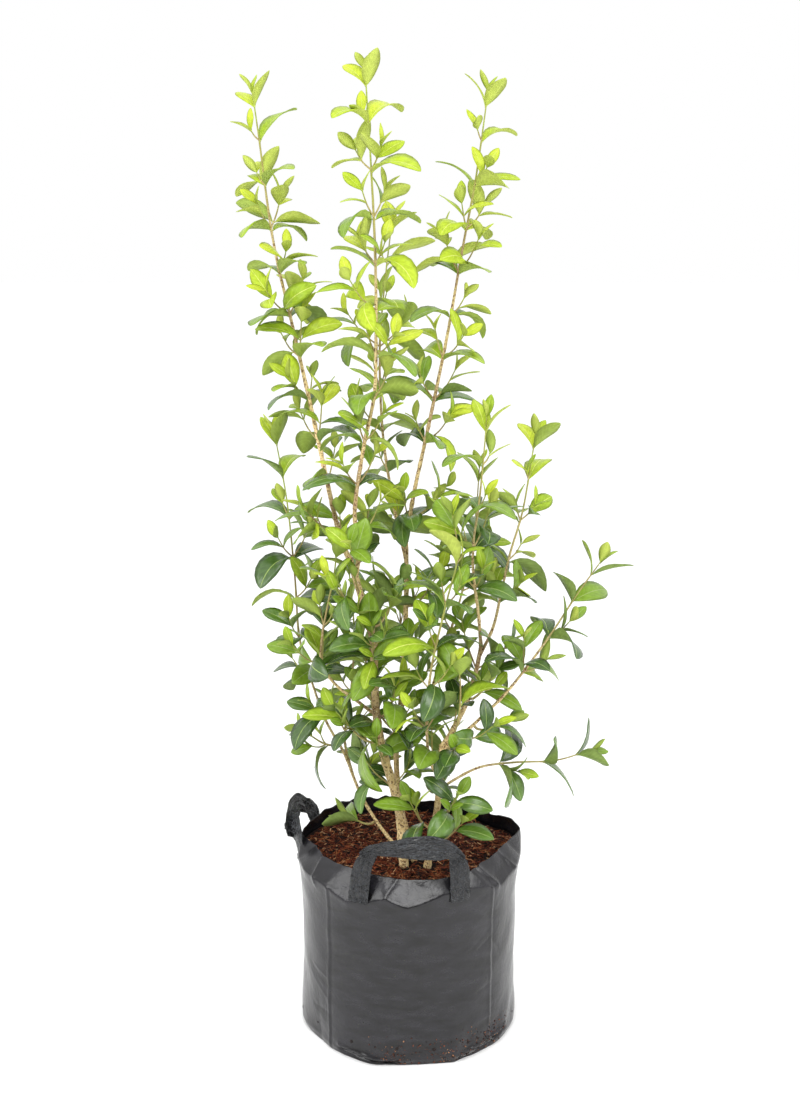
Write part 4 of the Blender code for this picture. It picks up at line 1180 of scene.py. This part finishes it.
# %% Ribbons
# A knot gives in millimetres the strip's middle along the unrolled bag and its height, half the width
# there, how far it stands off, and how much further off its first side is than its middle.
Ribbon = namedtuple("Ribbon", "name degrees legs band")
RIBBONS = (
    Ribbon("handle_front", -90, (
        ((-79, 264, 16.5, 1, 0), (-77.5, 290, 16, 1.5, 1), (-73.5, 315, 14.5, 1.5, 2),
         (-69, 331, 13.3, 1, 2), (-61, 341, 11.2, 0, 1), (-56, 350, 9, 0, 0)),
        ((69, 348, 9, 0, 0), (72.2, 336, 12, 0, 1), (76.8, 322, 15.2, 1, 2), (78.5, 300, 16, 1.5, 1),
         (79, 264, 16.3, 1, 0))),
        ((-75, 343, 3, 4, 0), (-64, 351, 6.5, 5.5, 1), (-54.6, 354.7, 9.2, 6, 3),
         (-31.8, 358.5, 12.5, 5, 3), (-1.2, 360.6, 16.4, 4, -2), (29.4, 360.3, 18.2, 4, -4),
         (52.2, 355.8, 15, 5, -4), (64, 350, 11, 6, -2), (74, 343, 7, 5.5, -1), (85, 335, 3, 4, 0))),
    Ribbon("handle_left", 165.5, (
        ((-50, 264, 15, 1, 0), (-50.5, 290, 16, 3, 1), (-48, 310, 16.5, 7, 2), (-40, 326, 14, 11, 2),
         (-30, 336, 9, 13, 2)),
        ((24, 338, 9.5, 14, -8), (35, 329, 13.5, 14, -14), (43, 316, 16, 12.5, -16.5),
         (40, 302, 15, 8, -12), (30, 283, 14.5, 3, -3), (24, 264, 15, 1, 0))),
        ((-48, 315, 4, 9, 0), (-38, 325.5, 10.5, 11.5, 3), (-24, 336.5, 14.5, 14, 4),
         (-11, 344, 15.5, 16, 5), (4, 338, 16.5, 17, 6), (22, 328, 15.5, 17.2, 7),
         (37, 317, 11, 16.5, 6), (45, 306, 4.5, 15, 4))),
)
RIBBON_STEP = 0.0014
RIBBON_HALF_THICKNESS = 0.0007
RIBBON_RADIUS = 0.1725
RIBBON_HALF_WIDTH = 0.0165
RIBBON_ACROSS = 29
FREE_FROM = 0.268


def ribbon_line(knots):
    """Even steps along straight lines from knot to knot, averaged over 12 mm, which rounds the bends."""
    values = np.array(knots) / 1000
    distance = np.concatenate([[0], np.cumsum(np.linalg.norm(np.diff(values[:, :2], axis=0), axis=1))])
    at = np.arange(0, distance[-1], RIBBON_STEP)
    shifts = np.linspace(-0.006, 0.006, 9)
    return np.mean([np.stack([np.interp(at + shift, distance, column) for column in values.T], -1)
                    for shift in shifts], axis=0)


def ribbon_surface(ribbon, knots, stretch, rng):
    """A closed strip. Across it, t runs from -1 to 1 on the outer side and back on the inner one.

    The point at t is the middle plus t half widths square to the line, wrapped to the angle of along
    over R. Its radius is the film's at the foot, and R above, plus the knot's own distance, plus t
    tilts. Folds that run along the strip crinkle it: the stretch says how long they are. The flat
    places, shortened along the strip by the stretch, come back too.
    """
    line = ribbon_line(knots)
    along = unit(np.gradient(line[:, :2], axis=0))
    normal = np.stack([-along[:, 1], along[:, 0]], -1)
    t = np.linspace(-1, 1, RIBBON_ACROSS)
    flat = line[:, None, :2] + normal[:, None] * t[None, :, None] * line[:, None, 2:3]
    x, z = flat[..., 0], flat[..., 1]
    degrees = ribbon.degrees + np.degrees(x / RIBBON_RADIUS)
    on_film = film_points(degrees, np.minimum(z, FREE_FROM))
    free = smooth_step(FREE_FROM - 0.004, 0.300, z)
    radius = np.hypot(on_film[..., 0], on_film[..., 1]) * (1 - free) + RIBBON_RADIUS * free
    radius += line[:, 3:4] + line[:, 4:5] * t + 0.0015
    distance = np.arange(len(line))[:, None] * RIBBON_STEP
    sheet = np.stack(np.broadcast_arrays(distance / stretch, t * RIBBON_HALF_WIDTH, 0 * x), -1)
    radius += 0.0015 * folds(sheet, rng, 0.0050) + 0.0010 * swell(sheet, rng, 0.014)
    out = outward(degrees)
    middle = out * radius[..., None] + z[..., None] * (0, 0, 1)
    edge = np.sqrt(np.clip(1 - t ** 8, 0.05, 1))[None, :, None] * RIBBON_HALF_THICKNESS
    surface = np.concatenate([middle + out * edge, (middle - out * edge)[:, ::-1]], 1)
    return surface, np.concatenate([sheet, sheet[:, ::-1]], 1)


lengths = [len(ribbon_line(ribbon.band)) * RIBBON_STEP for ribbon in RIBBONS]
print("lengths of the bands in metres:", [round(length, 3) for length in lengths])

# %% Strap material
# The same film, folded several times into a ribbon: matter, with fine creases along its length. Pale bluish
# grey on the crease ridges is a painted highlight, where the creases catch the light.
paint = Paint("folded_polythene_ribbon")
tones = paint.ramp(paint.noise(120, 5), (0.3, "#0A0A0B"), (0.75, "#1B1B1D"))
# A crease runs where a smooth noise over the flat strip crosses one half: about every 3 mm.
flat = paint.add("CombineXYZ", {"X": paint.attribute("run"), "Y": paint.attribute("across")})
waves = paint.noise(210, 3, 0.65, place=flat)
from_half = paint.math("ABSOLUTE", paint.math("SUBTRACT", waves, 0.5))
ridges = paint.spread(from_half, 0.055, 0)
# The ridges are mixed towards pale bluish grey: a painted highlight on the crease ridges.
painted_ridge_highlights = paint.mix(paint.math("MULTIPLY", ridges, 0.6), tones, linear("#63666B"))
strap_film = paint.finish(painted_ridge_highlights, 0.27, paint.bump(ridges, 1, 0.0012), POLYTHENE_IOR)

for ribbon in RIBBONS:
    rng = np.random.default_rng(SEED)
    strips = [ribbon_surface(ribbon, knots, stretch, rng)
              for knots, stretch in ((ribbon.band, 5.0), *((leg, 1.6) for leg in ribbon.legs))]
    surfaces, sheets = zip(*strips)
    piece = join_tubes(ribbon.name + "_ribbon", surfaces, strap_film, turned=True,
                       run=[sheet[..., 0] for sheet in sheets], across=[sheet[..., 1] for sheet in sheets])
    settle(piece, "black_strap", ribbon.name)

# %% [markdown]
# ## The growing medium
#
# The fill is shredded bark and coconut fibre: a dark crumbly bed under a tangle of red-brown strands.
# A bump on a flat disc would not show the strands' shadows. So the bed is a rough surface, and some
# thousands of thin bent strands lie on it, all worked out as one array.

# %% Bed of crumbs
BED_RINGS = 70
BED_ANGLES = 240
BED_LEVEL = 0.2862
BED_RELIEF = 0.0032
bed_degrees = np.linspace(-180, 180, BED_ANGLES, endpoint=False)
edge = film_points(bed_degrees, np.full(BED_ANGLES, 0.290), FILM_THICKNESS + 0.0008)
share = np.linspace(0.02, 1, BED_RINGS)[:, None, None]
bed = edge[None] * share * (1, 1, 0) + (0, 0, BED_LEVEL)
bed_rng = np.random.default_rng(SEED)
rough = BED_RELIEF * (folds(bed, bed_rng, 0.012) + 0.8 * swell(bed, bed_rng, 0.05))
bed[..., 2] += rough * (1 - share[..., 0] ** 12) + 0.0015 * share[..., 0] ** 6
under_bed = edge[None] * np.array([1.0, 0.02])[:, None, None] * (1, 1, 0) + (0, 0, FILL_LEVEL + 0.002)
bed = np.concatenate([bed, under_bed])

# Damp shredded bark: very matt. Its darkest tone, where the lumps meet, is painted shade in the gaps
# between crumbs; the rest is the damp bark's own brown. Crumbs 3 mm and grains under 1 mm.
paint = Paint("damp_shredded_bark")
lumps = paint.add("TexVoronoi", {"Scale": 330, "Vector": paint.place})
mixed = paint.math("MULTIPLY_ADD", paint.noise(900, 5), 0.5, lumps)
# The darkest stop is painted shade in the gaps between crumbs.
tones = paint.ramp(mixed, (0.2, "#4A2012"), (0.5, "#220D07"), (0.8, "#0C0403"))
crumbs = paint.finish(tones, 0.92, paint.bump(mixed, 0.9, 0.002), level=0.2)
settle(join_tubes("bark_bed", [bed], crumbs, turned=True), "bark_fibre", "growing_medium")

# %% Loose strands
STRANDS = 7000
STRAND_RINGS = 5
STRAND_SIDES = 3
STRAND_COLOURS = ("#602612", "#803E20", "#A86C42", "#200B06", "#D8AA80")
STRAND_SHARES = (0.31, 0.25, 0.13, 0.25, 0.06)
CLEAR_OF_STEMS = 0.014


def strands(rng, count):
    """Thin bent strands on the bed: an array of strand, ring, side, and x, y, z.

    Each runs through its middle in a random direction, bends sideways and up by a parabola, and thins
    towards both ends.
    """
    def one(low, high):
        """A random number for each strand."""
        return rng.uniform(low, high, (count, 1, 1, 1))

    def join(*parts):
        """The x, y and z of directions or places."""
        return np.concatenate(parts, -1)

    turn, spread = one(0, 2 * math.pi), np.sqrt(one(0, 1)) * 0.97
    rim = np.interp(np.degrees(turn), np.degrees(np.arctan2(edge[:, 1], edge[:, 0])) % 360,
                    np.hypot(edge[:, 0], edge[:, 1]), period=360)
    length = 0.006 + 0.020 * one(0, 1) ** 2
    spread = np.minimum(spread, 1 - (length / 2 + 0.004) / rim)
    centre = join(np.cos(turn) * rim * spread, np.sin(turn) * rim * spread, BED_LEVEL + one(0.0005, 0.0065))
    heading = one(0, 2 * math.pi)
    pitch = rng.normal(0, 0.24, heading.shape)
    along = join(np.cos(heading) * np.cos(pitch), np.sin(heading) * np.cos(pitch), np.sin(pitch))
    side = join(-np.sin(heading), np.cos(heading), 0 * heading)
    up = np.cross(along, side)
    s = np.linspace(-1, 1, STRAND_RINGS)[None, :, None, None]
    line = centre + along * s * length / 2
    line = line + side * (one(-0.3, 0.3) * length) * s ** 2 + up * (one(-0.22, 0.08) * length) * s ** 2
    radius = one(0.00025, 0.0008) * (1 - 0.8 * s ** 2)
    angle = np.linspace(0, 2 * math.pi, STRAND_SIDES, endpoint=False)[None, None, :, None]
    return line + (side * np.cos(angle) * 1.5 + up * np.sin(angle)) * radius


strand_rng = np.random.default_rng(SEED + 1)
lines = strands(strand_rng, STRANDS)
middle = lines.mean((1, 2))
feet = np.array([limb.route[0] for limb in LIMBS if limb.carrier is None])
gaps = np.linalg.norm(middle[:, None, :2] - feet[None, :, :2], axis=-1)
lines = lines[np.all(gaps > CLEAR_OF_STEMS, axis=1)]
count = len(lines)
size = STRAND_RINGS * STRAND_SIDES
faces = [copies(part, count, size) for part in tube_faces(STRAND_RINGS, STRAND_SIDES)]
kinds = strand_rng.choice(len(STRAND_COLOURS), count, p=STRAND_SHARES)
index = [np.repeat(kinds, len(part) // count) for part in faces]
# Dry coconut and bark: matt, streaked with light and dark at about 2 mm.
strand_finishes = [speckled(f"coir_strand_{kind}", 500, 2, 0.8, (0.3, code, 0.6), (0.7, code, 1.35),
                            level=0.25)
                   for kind, code in enumerate(STRAND_COLOURS)]
strand_piece = make_piece("coir_strands", lines, faces, strand_finishes, np.concatenate(index))
settle(strand_piece, "bark_fibre")

# %% [markdown]
# ## Floor and light
#
# The plant stands in a white studio. A white world alone would flatten the leaves, so a large soft
# panel high in front and two weaker ones at the sides give each leaf a light and a shaded half.

# %% Floor
FLOOR_SIZE = 40.0
FLOOR_LEVEL = -0.0006
corners = np.array([(-0.5, -0.5, 0), (0.5, -0.5, 0), (0.5, 0.5, 0), (-0.5, 0.5, 0)])
paper = speckled("white_studio_paper", 40, 2, 0.9, (0, "#FCFCFC"), (1, "#FEFEFE"))
floor = make_piece("studio_floor", corners * FLOOR_SIZE + (0, 0, FLOOR_LEVEL),
                   [np.array([[0, 1, 2, 3]])], [paper])
print("floor:", FLOOR_SIZE, "m square")

# %% World and lamps
sky = Paint("white_studio", bpy.data.worlds)
bpy.context.scene.world = sky.made
# The room is white at eye level and brighter overhead.
way = sky.add("SeparateXYZ", {"Vector": sky.place.node.outputs["Generated"]}).node.outputs
glow = sky.spread(way["Z"], 0.15, 1, 1, 1.3)
# Behind the camera it is darker between 10 and 35 degrees, so that glossy film shows its folds.
front = sky.spread(way["Y"], -0.1, -0.5)
over = sky.spread(way["Z"], 0, 0.20, interpolation_type="SMOOTHSTEP")
band = sky.math("MULTIPLY", over, sky.spread(way["Z"], 0.60, 0.50))
dim = sky.math("MULTIPLY_ADD", sky.math("MULTIPLY", front, band), -0.58, 1)
strength = sky.math("MULTIPLY", dim, glow)
sky.feed(sky.tree.nodes["Background"], {"Color": (1, 1, 1, 1), "Strength": strength})
# The plain sRGB curve keeps white paper white and leaf greens as strong as their hex codes.
bpy.context.scene.view_settings.view_transform = "Standard"

Lamp = namedtuple("Lamp", "name place aim size power")
LAMPS = (
    Lamp("front_panel", (-0.1, -2.2, 2.9), (0, 0, 0.4), 1.9, 52),
    Lamp("left_panel", (-2.5, -1.15, 1.9), (0, 0, 0.4), 1.7, 30),
    Lamp("right_panel", (2.6, -1.2, 1.7), (0, 0, 0.6), 1.6, 30),
)
for lamp in LAMPS:
    light = bpy.data.lights.new(lamp.name, "AREA")
    light.shape = "DISK"
    light.size = lamp.size
    light.energy = lamp.power
    holder = bpy.data.objects.new(lamp.name, light)
    holder.location = lamp.place
    holder.rotation_euler = (Vector(lamp.aim) - Vector(lamp.place)).to_track_quat("-Z", "Y").to_euler()
    bpy.context.scene.collection.objects.link(holder)
print("lamps:", [lamp.name for lamp in LAMPS])
